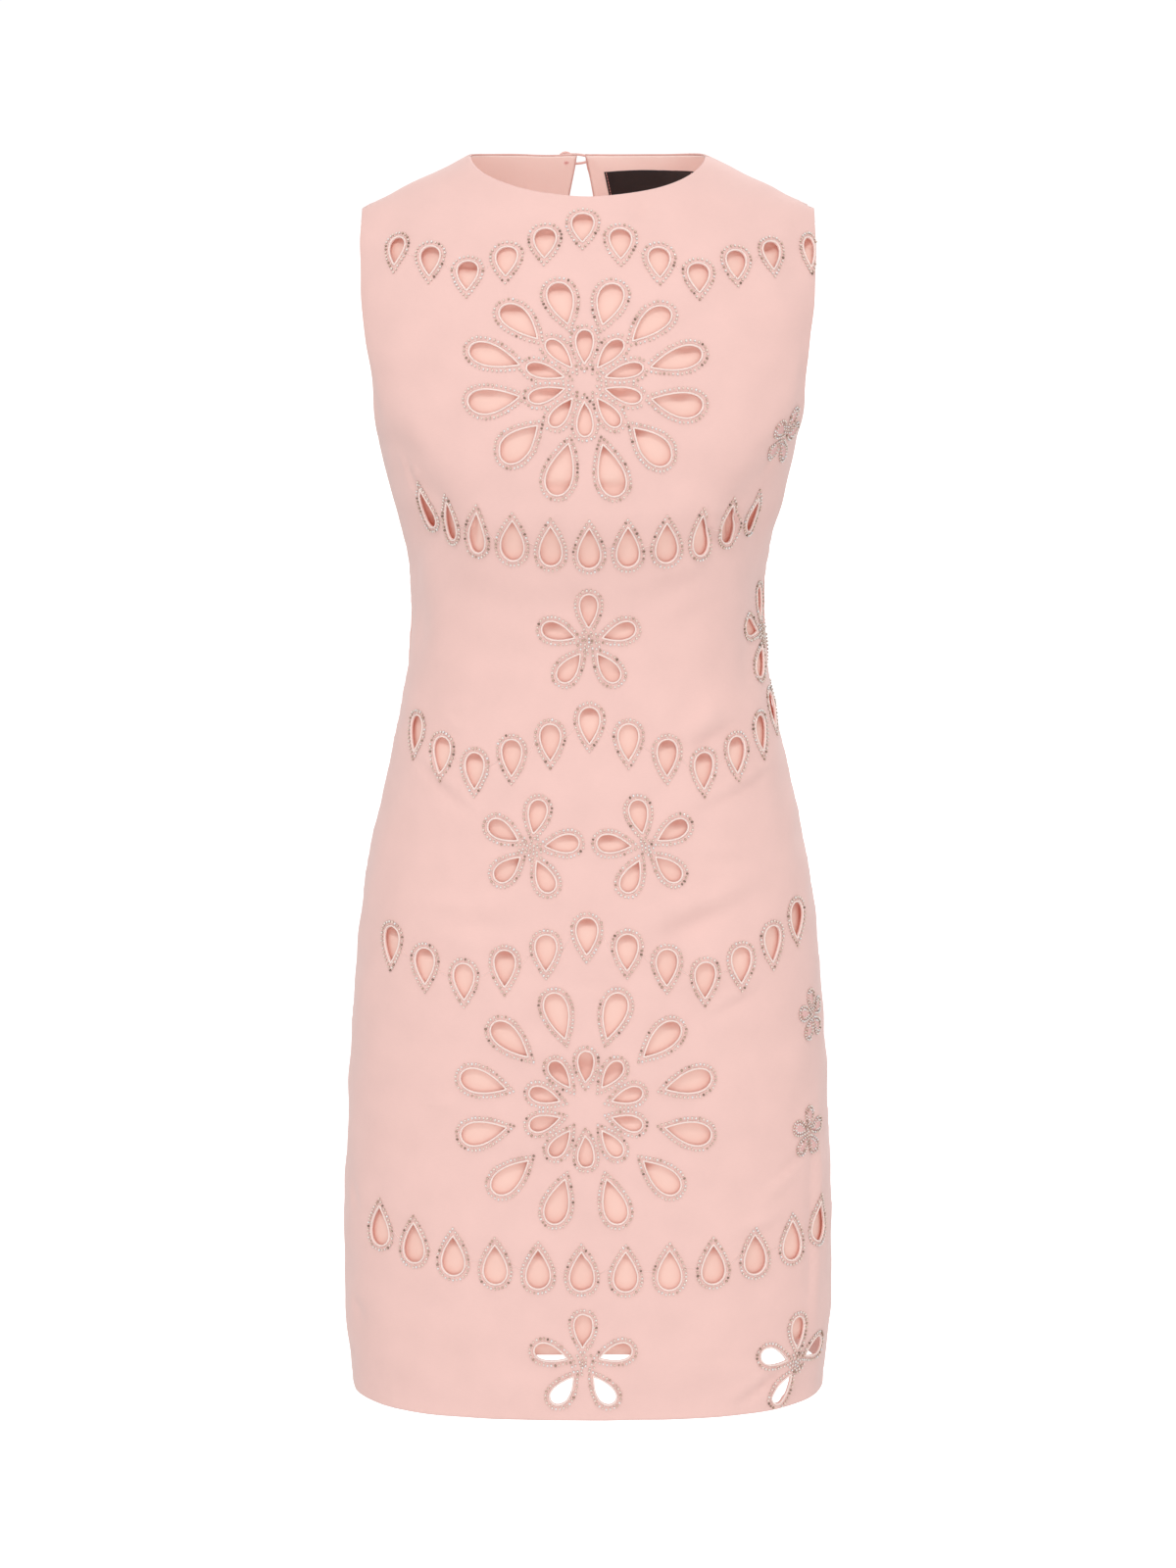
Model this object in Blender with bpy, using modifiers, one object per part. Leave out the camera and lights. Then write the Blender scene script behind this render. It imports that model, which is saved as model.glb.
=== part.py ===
"""Sleeveless cutwork shift dress, standing open and hollow as it is when worn.

Frame: metres, +Z up, the front of the dress faces -Y, +X is the wearer's left.
The origin lies midway between the two side neck points, where the wearer's shoulders hold the dress.

The cloth is cut flat and then placed on a plain figure. A flat point is (across, along). Up to the chest
line, across is measured round the cloth from the centre line and along is the height at which the point
hangs. Above it, across is where the point's own line up the cloth crosses the chest line, and along is
measured up that line, so that it runs over the rounded shoulder without a jump.
"""

import functools
import math
from collections import namedtuple

import bmesh
import bpy
import numpy as np
from mathutils import Matrix, Vector
from mathutils.geometry import delaunay_2d_cdt

# ---------------------------------------------------------------- driving sizes
HEM = -0.900
CHEST_LINE = -0.200
NECK_HALF = 0.0835
FRONT_NECK_DROP = 0.0265
BACK_NECK_DROP = 0.0015
SHOULDER_HALF = 0.1615
SHOULDER_DROP = 0.0385
LINING_HEM = -0.856

CLOTH = 0.0012
LINING_CLOTH = 0.0010
SEAM_GAP = 0.0003
LINING_SEAM_GAP = 0.0006
LINING_GAP = 0.0048
LINING_EASE = 0.016

LABEL_SIZE = (0.060, 0.020)
LABEL_CORNER = (0.012, -0.0131)
LABEL_LEAN = math.radians(9.5)
LABEL_STRIPS = 5
LABEL_GAP = 0.0005
KEYHOLE_CENTRE = -0.0050
BUTTON_CENTRE = (-0.0160, -0.0065)
BUTTON_RADIUS = 0.005
BUTTON_STEPS = 20
SHANK_RADIUS = 0.0013
LOOP_CENTRE = (-0.0105, -0.0063)
LOOP_HALF = (0.0120, 0.0034)
LOOP_THICKNESS = 0.0016
LOOP_STEPS = 28

# The button's dome, turned: its shares of the button's radius, and heights over its underside.
Turned = namedtuple("Turned", "share height")
DOME = [
    Turned(0.00, 0.0034),
    Turned(0.50, 0.0030),
    Turned(0.85, 0.0019),
    Turned(1.00, 0.0009),
    Turned(0.96, 0.0002),
    Turned(0.70, 0.0000),
]

# The keyhole, stage by stage down the cloth from the neck edge.
Stage = namedtuple("Stage", "down half_width")
KEYHOLE = [
    Stage(0.000, 0.0026),
    Stage(0.010, 0.0034),
    Stage(0.022, 0.0054),
    Stage(0.034, 0.0074),
    Stage(0.043, 0.0080),
    Stage(0.050, 0.0066),
    Stage(0.054, 0.0036),
    Stage(0.055, 0.0000),
]

# The figure under the cloth, level by level: half the width, how far it reaches forward and back, and
# how square the section is (2 is an ellipse). Above the chest line half_width is the armhole edge's.
Section = namedtuple("Section", "height half_width front back square")
SECTIONS = [
    Section(0.000, 0.1610, 0.124, 0.104, 2.40),
    Section(-0.040, 0.1612, 0.124, 0.104, 2.40),
    Section(-0.060, 0.1618, 0.124, 0.104, 2.40),
    Section(-0.100, 0.1606, 0.124, 0.104, 2.40),
    Section(-0.140, 0.1568, 0.124, 0.104, 2.40),
    Section(-0.180, 0.1530, 0.124, 0.104, 2.40),
    Section(-0.200, 0.1504, 0.125, 0.103, 2.38),
    Section(-0.240, 0.1414, 0.125, 0.098, 2.35),
    Section(-0.280, 0.1315, 0.113, 0.090, 2.30),
    Section(-0.320, 0.1278, 0.102, 0.085, 2.30),
    Section(-0.360, 0.1300, 0.100, 0.087, 2.30),
    Section(-0.400, 0.1366, 0.102, 0.095, 2.30),
    Section(-0.440, 0.1450, 0.106, 0.105, 2.35),
    Section(-0.480, 0.1543, 0.109, 0.113, 2.40),
    Section(-0.540, 0.1652, 0.113, 0.120, 2.50),
    Section(-0.620, 0.1725, 0.116, 0.121, 2.55),
    Section(-0.700, 0.1769, 0.118, 0.120, 2.60),
    Section(-0.780, 0.1802, 0.119, 0.119, 2.65),
    Section(-0.840, 0.1800, 0.119, 0.118, 2.70),
    Section(-0.900, 0.1751, 0.118, 0.116, 2.75),
]

# How the upper body rounds over to the shoulder seam: the power of its profile, front and back.
ROUNDING = {"front": 1.7, "back": 2.3}
FACING = {"front": -1, "back": 1}
NECK_POWER = 1.9
NECK_ROUNDING = 0.030

# The armhole's edge, as an angle round the section from the centre line.
ARMHOLE_DEEPEST = math.radians(63)
ARMHOLE_AT_TIP = math.radians(72)
ARMHOLE_DEEPEST_AT = 0.55
ARMHOLE_POWER = 2.2

# ---------------------------------------------------------------- the cutwork
# A row of petals. The petal that is k places from the middle one lies spacing * k + lean * k^2 +
# spread * k^3 across from it and rises[k] + tilt * k above it. turn is where its point is, in degrees.
Row = namedtuple("Row", "centre height spacing lean spread tilt left right rises length width turn")
UP, DOWN = 0, 180
NECK_ZIGZAG = [0.0, -0.0115, -0.0245, -0.035, -0.0245, -0.0175]
ZIGZAG = [0.0, -0.012, -0.0235, -0.034, -0.025, -0.013, 0.0]
FESTOON = [0.0, 0.001, 0.004, 0.008, 0.0135, 0.020]
HEM_FESTOON = [0.0, 0.0005, 0.002, 0.006, 0.0115, 0.0185, 0.027]
ROWS = [
    Row(-0.0032, -0.0410, 0.0225, 0, 6.5e-5, -3e-4, 5, 5, NECK_ZIGZAG, 0.0210, 0.0125, DOWN),
    Row(0.0008, -0.2685, 0.0270, 1e-4, 0, -4e-4, 5, 5, FESTOON, 0.0280, 0.0150, UP),
    Row(0.0010, -0.3955, 0.0276, 0, 0, 0, 5, 6, ZIGZAG, 0.0245, 0.0138, DOWN),
    Row(-0.0008, -0.5445, 0.0288, -2e-4, 0, 2e-4, 5, 6, ZIGZAG, 0.0250, 0.0145, DOWN),
    Row(-0.0045, -0.7885, 0.0313, 1e-4, 0, -1e-3, 5, 6, HEM_FESTOON, 0.0280, 0.0165, UP),
]

# A wheel is two rings of petals that point at its centre. A ring narrows upwards by taper and its petals
# shrink by as much. Its sides are lifted by lift and it leans by tilt, to suit the fuller cloth of the chest.
Ring = namedtuple("Ring", "centre height across up taper lift tilt count start length width")
WHEELS = [
    [
        Ring(-0.0016, -0.1552, 0.0588, 0.0600, 0.11, 0.0044, -0.020, 12, 15, 0.0325, 0.0158),
        Ring(-0.0020, -0.1528, 0.0250, 0.0252, 0.00, 0.0000, 0.000, 10, 0, 0.0225, 0.0092),
    ],
    [
        Ring(-0.0015, -0.6695, 0.0760, 0.0700, 0.00, 0.0000, 0.000, 12, 15, 0.0330, 0.0160),
        Ring(-0.0015, -0.6695, 0.0310, 0.0310, 0.00, 0.0000, 0.000, 10, 0, 0.0215, 0.0105),
    ],
]

# A flower is five petals that point at its centre. turn leans the first one off straight up.
Flower = namedtuple("Flower", "centre height radius length width turn")
FLOWER_PETALS = 5
FLOWERS = [
    Flower(0.0005, -0.3365, 0.0225, 0.0230, 0.0118, 0),
    Flower(-0.0405, -0.4820, 0.0225, 0.0230, 0.0122, 11),
    Flower(0.0405, -0.4820, 0.0225, 0.0230, 0.0122, -11),
    Flower(-0.0035, -0.8570, 0.0245, 0.0235, 0.0122, 0),
    Flower(0.1690, -0.3420, 0.0225, 0.0230, 0.0118, 0),
    Flower(0.1600, -0.8675, 0.0225, 0.0230, 0.0118, 2),
]
PETAL_FULLNESS = 0.77
PETAL_STEPS = 8
SMALL_PETAL = 0.0227
SMALL_PETAL_STEPS = 7
LONGEST_PETAL = 0.035
EDGE_CLEARANCE = 0.004

# ---------------------------------------------------------------- how finely the cloth is divided
COLUMNS = 22
ROW_STEP = 0.032
RISE_STEP = 0.024
LINING_COLUMNS = 14
LINING_ROW_STEP = 0.050
LINING_RISE_STEP = 0.034
BAND = 0.011
CLEAR_OF_CUTS = 0.009
ARC_SAMPLES = 181
SHOULDER_PASSES = 4
OUTWARD_STEP = 0.0008
MERGE_DISTANCE = 0.00005

# ---------------------------------------------------------------- colours
POPLIN_PINK = (0.88, 0.56, 0.50)
LINING_PEACH = (0.90, 0.50, 0.42)
LABEL_BLACK = (0.02, 0.02, 0.02)


# ---------------------------------------------------------------- the figure
@functools.cache
def interpolated(column, height):
    """A column of SECTIONS at a height, on a smooth curve that never overshoots its rows."""
    rows = SECTIONS[::-1]
    heights = [row.height for row in rows]
    values = [getattr(row, column) for row in rows]
    height = min(max(height, heights[0]), heights[-1])
    index = max(i for i in range(len(rows) - 1) if heights[i] <= height)

    def slope(i):
        if i in (0, len(rows) - 1):
            return 0.0
        below = (values[i] - values[i - 1]) / (heights[i] - heights[i - 1])
        above = (values[i + 1] - values[i]) / (heights[i + 1] - heights[i])
        return 0.0 if below * above <= 0 else 2 * below * above / (below + above)

    step = heights[index + 1] - heights[index]
    s = (height - heights[index]) / step
    return (
        (1 + 2 * s) * (1 - s) ** 2 * values[index]
        + s * (1 - s) ** 2 * step * slope(index)
        + s * s * (3 - 2 * s) * values[index + 1]
        + s * s * (s - 1) * step * slope(index + 1)
    )


def shoulder_height(x):
    """Height of the shoulder seam at x. Over the neck it is rounded, where no cloth lies."""
    run = math.hypot(SHOULDER_HALF, NECK_ROUNDING) - math.hypot(NECK_HALF, NECK_ROUNDING)
    return SHOULDER_DROP / run * (math.hypot(NECK_HALF, NECK_ROUNDING) - math.hypot(x, NECK_ROUNDING))


def armhole_angle(height):
    """Angle round the section at which a panel ends: at the side seam, or at the armhole above it."""
    share = (height - CHEST_LINE) / (-SHOULDER_DROP - CHEST_LINE)
    if share <= 0:
        return math.pi / 2
    if share < ARMHOLE_DEEPEST_AT:
        left = 1 - share / ARMHOLE_DEEPEST_AT
        curve = (1 - left**ARMHOLE_POWER) ** (1 / ARMHOLE_POWER)
        return math.pi / 2 + (ARMHOLE_DEEPEST - math.pi / 2) * curve
    past = (min(share, 1) - ARMHOLE_DEEPEST_AT) / (1 - ARMHOLE_DEEPEST_AT)
    return ARMHOLE_DEEPEST + (ARMHOLE_AT_TIP - ARMHOLE_DEEPEST) * past**2


def sine_power(angle, height):
    return abs(math.sin(angle)) ** (2 / interpolated("square", height))


def cosine_power(angle, height):
    return max(math.cos(angle), 0) ** (2 / interpolated("square", height))


@functools.cache
def figure_half_width(height):
    capped = min(height, -SHOULDER_DROP)
    return interpolated("half_width", capped) / sine_power(armhole_angle(capped), capped)


def x_at(angle, height):
    return math.copysign(figure_half_width(height) * sine_power(angle, height), angle)


@functools.cache
def arc_table(side, height):
    """Lengths along a quarter of the section from the centre line, and the angles they belong to."""
    level = min(height, CHEST_LINE)
    power = 2 / interpolated("square", level)
    angles = np.linspace(0, math.pi / 2, ARC_SAMPLES)
    x = figure_half_width(level) * np.sin(angles) ** power
    y = interpolated(side, level) * np.cos(angles).clip(0) ** power
    return np.concatenate([[0], np.cumsum(np.hypot(np.diff(x), np.diff(y)))]), angles


def across_of(side, angle, height):
    lengths, angles = arc_table(side, height)
    return math.copysign(float(np.interp(abs(angle), angles, lengths)), angle)


def angle_of(side, across, height):
    lengths, angles = arc_table(side, height)
    return math.copysign(float(np.interp(abs(across), lengths, angles)), across)


@functools.cache
def rise_table(side, angle):
    """Lengths up the upper body from the chest line, and the shares of the way to the seam they reach."""
    rounding = ROUNDING[side]
    turns = np.linspace(0, math.pi / 2, ARC_SAMPLES)
    rises = np.sin(turns) ** (2 / rounding)
    top = shoulder_height(x_at(angle, -SHOULDER_DROP))
    z = (top - CHEST_LINE) * rises
    reach = interpolated(side, CHEST_LINE) * cosine_power(angle, CHEST_LINE)
    y = reach * np.cos(turns).clip(0) ** (2 / rounding)
    return np.concatenate([[0], np.cumsum(np.hypot(np.diff(z), np.diff(y)))]), rises


def flat(side, angle, height):
    """The flat point of the cloth at an angle round the figure and a height."""
    if height <= CHEST_LINE:
        return across_of(side, angle, height), height
    rise = (height - CHEST_LINE) / (shoulder_height(x_at(angle, height)) - CHEST_LINE)
    lengths, rises = rise_table(side, abs(angle))
    return across_of(side, angle, CHEST_LINE), CHEST_LINE + float(np.interp(rise, rises, lengths))


def flat_at(side, x, height):
    """The flat point of the cloth at x and a height."""
    share = min(abs(x) / figure_half_width(height), 1)
    angle = math.asin(share ** (interpolated("square", height) / 2))
    return flat(side, math.copysign(angle, x), height)


def on_figure(side, across, along):
    """The figure's own surface under a flat point."""
    if along <= CHEST_LINE:
        angle, height, narrowing = angle_of(side, across, along), along, 1.0
    else:
        angle = angle_of(side, across, CHEST_LINE)
        lengths, rises = rise_table(side, abs(angle))
        rise = float(np.interp(along - CHEST_LINE, lengths, rises))
        height = CHEST_LINE
        for _ in range(SHOULDER_PASSES):
            height = CHEST_LINE + rise * (shoulder_height(x_at(angle, height)) - CHEST_LINE)
        narrowing = (1 - rise ** ROUNDING[side]) ** (1 / ROUNDING[side])
    depth = interpolated(side, height) * cosine_power(angle, height) * narrowing
    return Vector((x_at(angle, height), FACING[side] * depth, height))


def outward(side, across, along):
    """Direction out of the cloth at a flat point, from its neighbours a little to each side."""
    limit = arc_table(side, min(along, CHEST_LINE))[0][-1]
    right = on_figure(side, min(across + OUTWARD_STEP, limit), along)
    left = on_figure(side, max(across - OUTWARD_STEP, -limit), along)
    reach = rise_table(side, abs(angle_of(side, across, CHEST_LINE)))[0][-1] + CHEST_LINE
    above = on_figure(side, across, min(along + OUTWARD_STEP, reach))
    below = on_figure(side, across, along - OUTWARD_STEP)
    return (right - left).cross(above - below).normalized() * -FACING[side]


def placed(side, across, along, out=0.0):
    """Where a flat point comes to lie, moved outwards by out. Front and back keep the seam gap."""
    point = on_figure(side, across, along) + outward(side, across, along) * out
    point.y = FACING[side] * (max(FACING[side] * point.y, 0) + SEAM_GAP / 2)
    return point


# ---------------------------------------------------------------- edges of a panel, as flat points
def neck_height(side, x):
    share = min(abs(x) / NECK_HALF, 1)
    if side == "front":
        return -FRONT_NECK_DROP * (1 - share**NECK_POWER) ** (1 / NECK_POWER)
    return -BACK_NECK_DROP * (1 - share**2)


def neck_edge(side, steps=9):
    """From the side neck point at +X to the centre line."""
    edge = [NECK_HALF * math.cos(math.pi / 2 * k / steps) for k in range(steps)] + [0.0]
    return [flat_at(side, x, neck_height(side, x)) for x in edge]


def shoulder_edge(side, steps=4):
    """From the shoulder tip to just before the side neck point."""
    edge = [SHOULDER_HALF + (NECK_HALF - SHOULDER_HALF) * k / steps for k in range(steps)]
    return [flat_at(side, x, shoulder_height(x)) for x in edge]


def armhole_edge(side, steps=12):
    """From the underarm to just before the shoulder tip, with its points closer at both ends."""
    shares = [(1 - math.cos(math.pi * k / steps)) / 2 for k in range(steps)]
    heights = [CHEST_LINE + share * (-SHOULDER_DROP - CHEST_LINE) for share in shares]
    return [flat(side, armhole_angle(height), height) for height in heights]


def side_edge(side, hem, row_step):
    """From the hem up to just before the underarm."""
    rows = round((CHEST_LINE - hem) / row_step)
    heights = [hem + (CHEST_LINE - hem) * k / rows for k in range(rows)]
    return [flat(side, math.pi / 2, height) for height in heights]


def hem_edge(side, hem, columns):
    """Half of the hem, from the centre line to just before the side seam."""
    half = across_of(side, math.pi / 2, hem)
    return [(2 * half * k / columns, hem) for k in range(columns // 2)]


def keyhole_edge(facing):
    """One edge of the keyhole, from the neck edge down to its lowest point. facing is its side of X."""
    x, top = flat_at("back", KEYHOLE_CENTRE, neck_height("back", KEYHOLE_CENTRE))
    return [(x + facing * stage.half_width, top - stage.down) for stage in KEYHOLE]


def panel_outline(side, hem, columns, row_step):
    """The whole cut edge: one closed loop of flat points that starts at the middle of the hem."""
    half = hem_edge(side, hem, columns) + side_edge(side, hem, row_step)
    half += armhole_edge(side) + shoulder_edge(side) + neck_edge(side)
    mirrored = [(-across, along) for across, along in half[-2:0:-1]]
    if side == "front":
        return half + mirrored
    right, left = keyhole_edge(1), keyhole_edge(-1)
    rightmost, leftmost = right[0][0] + EDGE_CLEARANCE, left[0][0] - EDGE_CLEARANCE
    half = [point for point in half if point[1] < CHEST_LINE or point[0] > rightmost]
    mirrored = [point for point in mirrored if point[1] < CHEST_LINE or point[0] < leftmost]
    return half + right + left[-2::-1] + mirrored


# ---------------------------------------------------------------- petals, as loops of flat points
def petal(centre, height, length, width, turn):
    """A drop with its point at the end that turn gives, in degrees clockwise from straight up."""
    steps = PETAL_STEPS if length > SMALL_PETAL else SMALL_PETAL_STEPS
    angle = math.radians(turn)
    points = []
    for k in range(steps):
        way = 2 * math.pi * k / steps
        side = width / 2 * math.sin(way) * math.sin(way / 2) / PETAL_FULLNESS
        up = length / 2 * math.cos(way)
        x = centre + side * math.cos(angle) + up * math.sin(angle)
        z = height - side * math.sin(angle) + up * math.cos(angle)
        points.append((x, z))
    return points


def row_petals(row, skipped=()):
    cuts = []
    for k in range(-row.left, row.right + 1):
        if k in skipped:
            continue
        centre = row.centre + row.spacing * k + row.lean * k**2 + row.spread * k**3
        height = row.height + row.rises[abs(k)] + row.tilt * k
        cuts.append(petal(centre, height, row.length, row.width, row.turn))
    return cuts


def ring_petals(ring):
    """Petals round an oval, each with its point towards the middle."""
    cuts = []
    for k in range(ring.count):
        angle = math.radians(ring.start + 360 / ring.count * k)
        growth = 1 - ring.taper * math.cos(angle)
        x = ring.centre + ring.across * math.sin(angle) * growth
        z = ring.height + ring.up * math.cos(angle) + ring.lift * math.sin(angle) ** 2
        z += ring.tilt * (x - ring.centre)
        inwards = math.degrees(math.atan2(ring.centre - x, ring.height - z))
        cuts.append(petal(x, z, ring.length * growth, ring.width * growth, inwards))
    return cuts


def flower_ring(flower):
    """A flower is an even ring of five petals."""
    round_it = (flower.centre, flower.height, flower.radius, flower.radius, 0.0, 0.0, 0.0)
    return Ring(*round_it, FLOWER_PETALS, flower.turn, flower.length, flower.width)


def cutwork(side, outline):
    """Every petal of a panel that has cloth all round it. The back leaves one out, for the keyhole."""
    cuts = []
    for number, row in enumerate(ROWS):
        cuts += row_petals(row, skipped=[0] if side == "back" and number == 0 else [])
    for ring in sum(WHEELS, []) + [flower_ring(flower) for flower in FLOWERS]:
        cuts += ring_petals(ring)
    return [cut for cut in cuts if all(is_clear(point, outline, EDGE_CLEARANCE) for point in cut)]


# ---------------------------------------------------------------- from flat points to a piece of cloth
def distance_to_path(point, path):
    """Shortest distance from a flat point to a chain of flat points."""
    p = Vector(point)
    best = math.inf
    for a, b in zip(path, path[1:]):
        a, b = Vector(a), Vector(b)
        along = b - a
        share = (p - a).dot(along) / along.length_squared if along.length_squared else 0
        best = min(best, (p - a - along * min(max(share, 0), 1)).length)
    return best


def inside_loop(point, loop):
    x, y = point
    inside = False
    for (ax, ay), (bx, by) in zip(loop, loop[1:] + loop[:1]):
        if (ay > y) != (by > y) and x < ax + (y - ay) / (by - ay) * (bx - ax):
            inside = not inside
    return inside


def is_clear(point, loop, margin):
    """Whether a point lies inside a loop and stands clear of it."""
    return inside_loop(point, loop) and distance_to_path(point, loop + loop[:1]) >= margin


def body_points(side, hem, columns, row_step, rise_step):
    """Flat points over the whole panel: level rows up to the chest, then rows that rise to the seam."""
    rows = round((CHEST_LINE - hem) / row_step)
    points = []
    for k in range(1, rows + 1):
        along = hem + (CHEST_LINE - hem) * k / rows
        half = across_of(side, math.pi / 2, along)
        points += [(half * (2 * c / columns - 1), along) for c in range(1, columns)]
    half = across_of(side, math.pi / 2, CHEST_LINE)
    for c in range(1, columns):
        across = half * (2 * c / columns - 1)
        reach = rise_table(side, abs(angle_of(side, across, CHEST_LINE)))[0][-1]
        steps = max(round(reach / rise_step), 1)
        points += [(across, CHEST_LINE + reach * k / steps) for k in range(1, steps)]
    return points


def band_points(outline, margin):
    """A line of flat points inside the neck and armhole edges, which dress and lining share."""
    points = []
    for before, point, after in zip(outline[-1:] + outline, outline, outline[1:] + outline[:1]):
        if point[1] > CHEST_LINE - margin:
            run = (Vector(after) - Vector(before)).normalized()
            points.append((point[0] - run.y * margin, point[1] + run.x * margin))
    return points


def thinned(points, spacing, first=()):
    """The first points, then those of the others that lie too near to none before them."""
    kept = list(first)
    for point in points:
        if all(math.dist(point, other) >= spacing for other in kept):
            kept.append(point)
    return kept


def clear_of_cuts(points, cuts, margin):
    """The points that lie on cloth and stand clear of the petals."""
    kept = []
    for point in points:
        near = [cut for cut in cuts if math.dist(point, cut[0]) < LONGEST_PETAL + margin]
        in_cut = any(inside_loop(point, cut) for cut in near)
        if not in_cut and all(distance_to_path(point, cut + cut[:1]) >= margin for cut in near):
            kept.append(point)
    return kept


def cut_flat(outline, cuts, points, creases=()):
    """A flat sheet of triangles inside the outline, without the cuts, through the points and creases."""
    flat_points, edges = [], []
    for loop in [outline, *cuts, *creases]:
        first = len(flat_points)
        flat_points += [Vector(point) for point in loop]
        edges += [(first + k, first + (k + 1) % len(loop)) for k in range(len(loop))]
    flat_points += [Vector(point) for point in points]
    inside_only, tolerance = 1, 1e-6
    verts, _, faces, *_ = delaunay_2d_cdt(flat_points, edges, [], inside_only, tolerance)
    kept = []
    for face in faces:
        middle = sum((verts[i] for i in face), Vector((0, 0))) / len(face)
        near = [cut for cut in cuts if math.dist(middle, cut[0]) < LONGEST_PETAL]
        if not any(inside_loop(middle, cut) for cut in near):
            kept.append(face)
    return verts, kept


def sewn_piece(name, side, sheet, thickness, inset, material, collection):
    """A flat sheet made into a slab as thick as the cloth, then every point placed on the figure.

    inset(across, along) says how far the piece's outer face lies inside the figure's surface."""
    verts, faces = sheet
    bm = bmesh.new()
    outer = [bm.verts.new((*point, 0)) for point in verts]
    for face in faces:
        bm.faces.new([outer[i] for i in face])
    raised = bmesh.ops.extrude_face_region(bm, geom=bm.faces[:])
    inner = [item for item in raised["geom"] if isinstance(item, bmesh.types.BMVert)]
    bmesh.ops.translate(bm, verts=inner, vec=(0, 0, 1))
    for vert in bm.verts:
        across, along, layer = vert.co
        vert.co = placed(side, across, along, -inset(across, along) - layer * thickness)
    bmesh.ops.triangulate(bm, faces=bm.faces[:])
    bmesh.ops.recalc_face_normals(bm, faces=bm.faces[:])
    mesh = bpy.data.meshes.new(name)
    bm.to_mesh(mesh)
    bm.free()
    return add_object(name, mesh, material, collection)


# ---------------------------------------------------------------- scene helpers
def clear_scene():
    for obj in list(bpy.data.objects):
        bpy.data.objects.remove(obj)


def make_material(name, colour, roughness, metallic=0.0):
    material = bpy.data.materials.new(name)
    material.use_nodes = True
    shader = material.node_tree.nodes["Principled BSDF"]
    shader.inputs["Base Color"].default_value = (*colour, 1)
    shader.inputs["Roughness"].default_value = roughness
    shader.inputs["Metallic"].default_value = metallic
    return material


def add_object(name, data, material, collection):
    obj = bpy.data.objects.new(name, data)
    obj.data.materials.append(material)
    collection.objects.link(obj)
    return obj


# ---------------------------------------------------------------- the pieces
def panel_sheet(side, hem, columns, row_step, rise_step, cuts, creases=()):
    """The flat triangles of a whole panel, with its cuts and with creases along the given loops."""
    outline = panel_outline(side, hem, columns, row_step)
    band = thinned(band_points(outline, BAND), BAND / 2)
    points = thinned(body_points(side, hem, columns, row_step, rise_step), rise_step / 2, band)
    points = [point for point in points if is_clear(point, outline, BAND / 2)]
    points = clear_of_cuts(points, list(cuts) + list(creases), CLEAR_OF_CUTS)
    return cut_flat(outline, cuts, points, creases)


def make_panel(side, material, collection):
    """Front or back of the dress, with its cutwork."""
    cuts = cutwork(side, panel_outline(side, HEM, COLUMNS, ROW_STEP))
    sheet = panel_sheet(side, HEM, COLUMNS, ROW_STEP, RISE_STEP, cuts)
    return sewn_piece(side, side, sheet, CLOTH, lambda across, along: 0, material, collection)


def lining_inset(side):
    """The lining meets the dress at the neck, keyhole and armholes, and stands off it elsewhere."""
    armhole = armhole_edge(side) + shoulder_edge(side)[:1]
    neck = neck_edge(side)
    sewn = [armhole, neck, [(-x, z) for x, z in armhole], [(-x, z) for x, z in neck]]
    if side == "back":
        sewn += [keyhole_edge(1), keyhole_edge(-1)]

    def inset(across, along):
        away = min(distance_to_path((across, along), path) for path in sewn)
        return CLOTH + LINING_SEAM_GAP + (LINING_GAP - LINING_SEAM_GAP) * min(away / LINING_EASE, 1)

    return inset


def label_strips():
    """The label as upright strips of flat points, so that it and the lining share their facets."""
    corner = Vector(flat_at("back", *LABEL_CORNER))
    width, tall = LABEL_SIZE
    run = Vector((math.cos(LABEL_LEAN), math.sin(LABEL_LEAN)))
    fall = Vector((run.y, -run.x)) * tall
    tops = [corner + run * width * k / LABEL_STRIPS for k in range(LABEL_STRIPS + 1)]
    return [[tuple(a), tuple(b), tuple(b + fall), tuple(a + fall)] for a, b in zip(tops, tops[1:])]


def make_lining(side, material, collection):
    creases = label_strips() if side == "back" else []
    sheet = panel_sheet(
        side, LINING_HEM, LINING_COLUMNS, LINING_ROW_STEP, LINING_RISE_STEP, [], creases
    )
    inset = lining_inset(side)
    return sewn_piece(f"lining_{side}", side, sheet, LINING_CLOTH, inset, material, collection)


def make_label(material, collection):
    """A woven label inside the back neck, beside the keyhole."""
    strips = label_strips()
    upper = [strip[0] for strip in strips] + [strips[-1][1]]
    lower = [strip[3] for strip in strips] + [strips[-1][2]]
    sheet = cut_flat(upper + lower[::-1], [], [], strips)
    lining = lining_inset("back")

    def inset(across, along):
        return lining(across, along) + LINING_CLOTH + LABEL_GAP

    return sewn_piece("label", "back", sheet, LINING_CLOTH, inset, material, collection)


def make_loop(material, collection):
    """A narrow loop on the outside of the back neck, which crosses the keyhole to the button."""
    out = LOOP_THICKNESS / 2 + 2 * SEAM_GAP
    curve = bpy.data.curves.new("loop", "CURVE")
    curve.dimensions = "3D"
    curve.bevel_depth = LOOP_THICKNESS / 2
    curve.bevel_resolution = 2
    spline = curve.splines.new("POLY")
    spline.points.add(LOOP_STEPS - 1)
    spline.use_cyclic_u = True
    for k in range(LOOP_STEPS):
        angle = 2 * math.pi * k / LOOP_STEPS
        x = LOOP_CENTRE[0] + LOOP_HALF[0] * math.cos(angle)
        height = LOOP_CENTRE[1] + LOOP_HALF[1] * math.sin(angle)
        spline.points[k].co = (*placed("back", *flat_at("back", x, height), out), 1)
    return add_object("loop", curve, material, collection)


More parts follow.
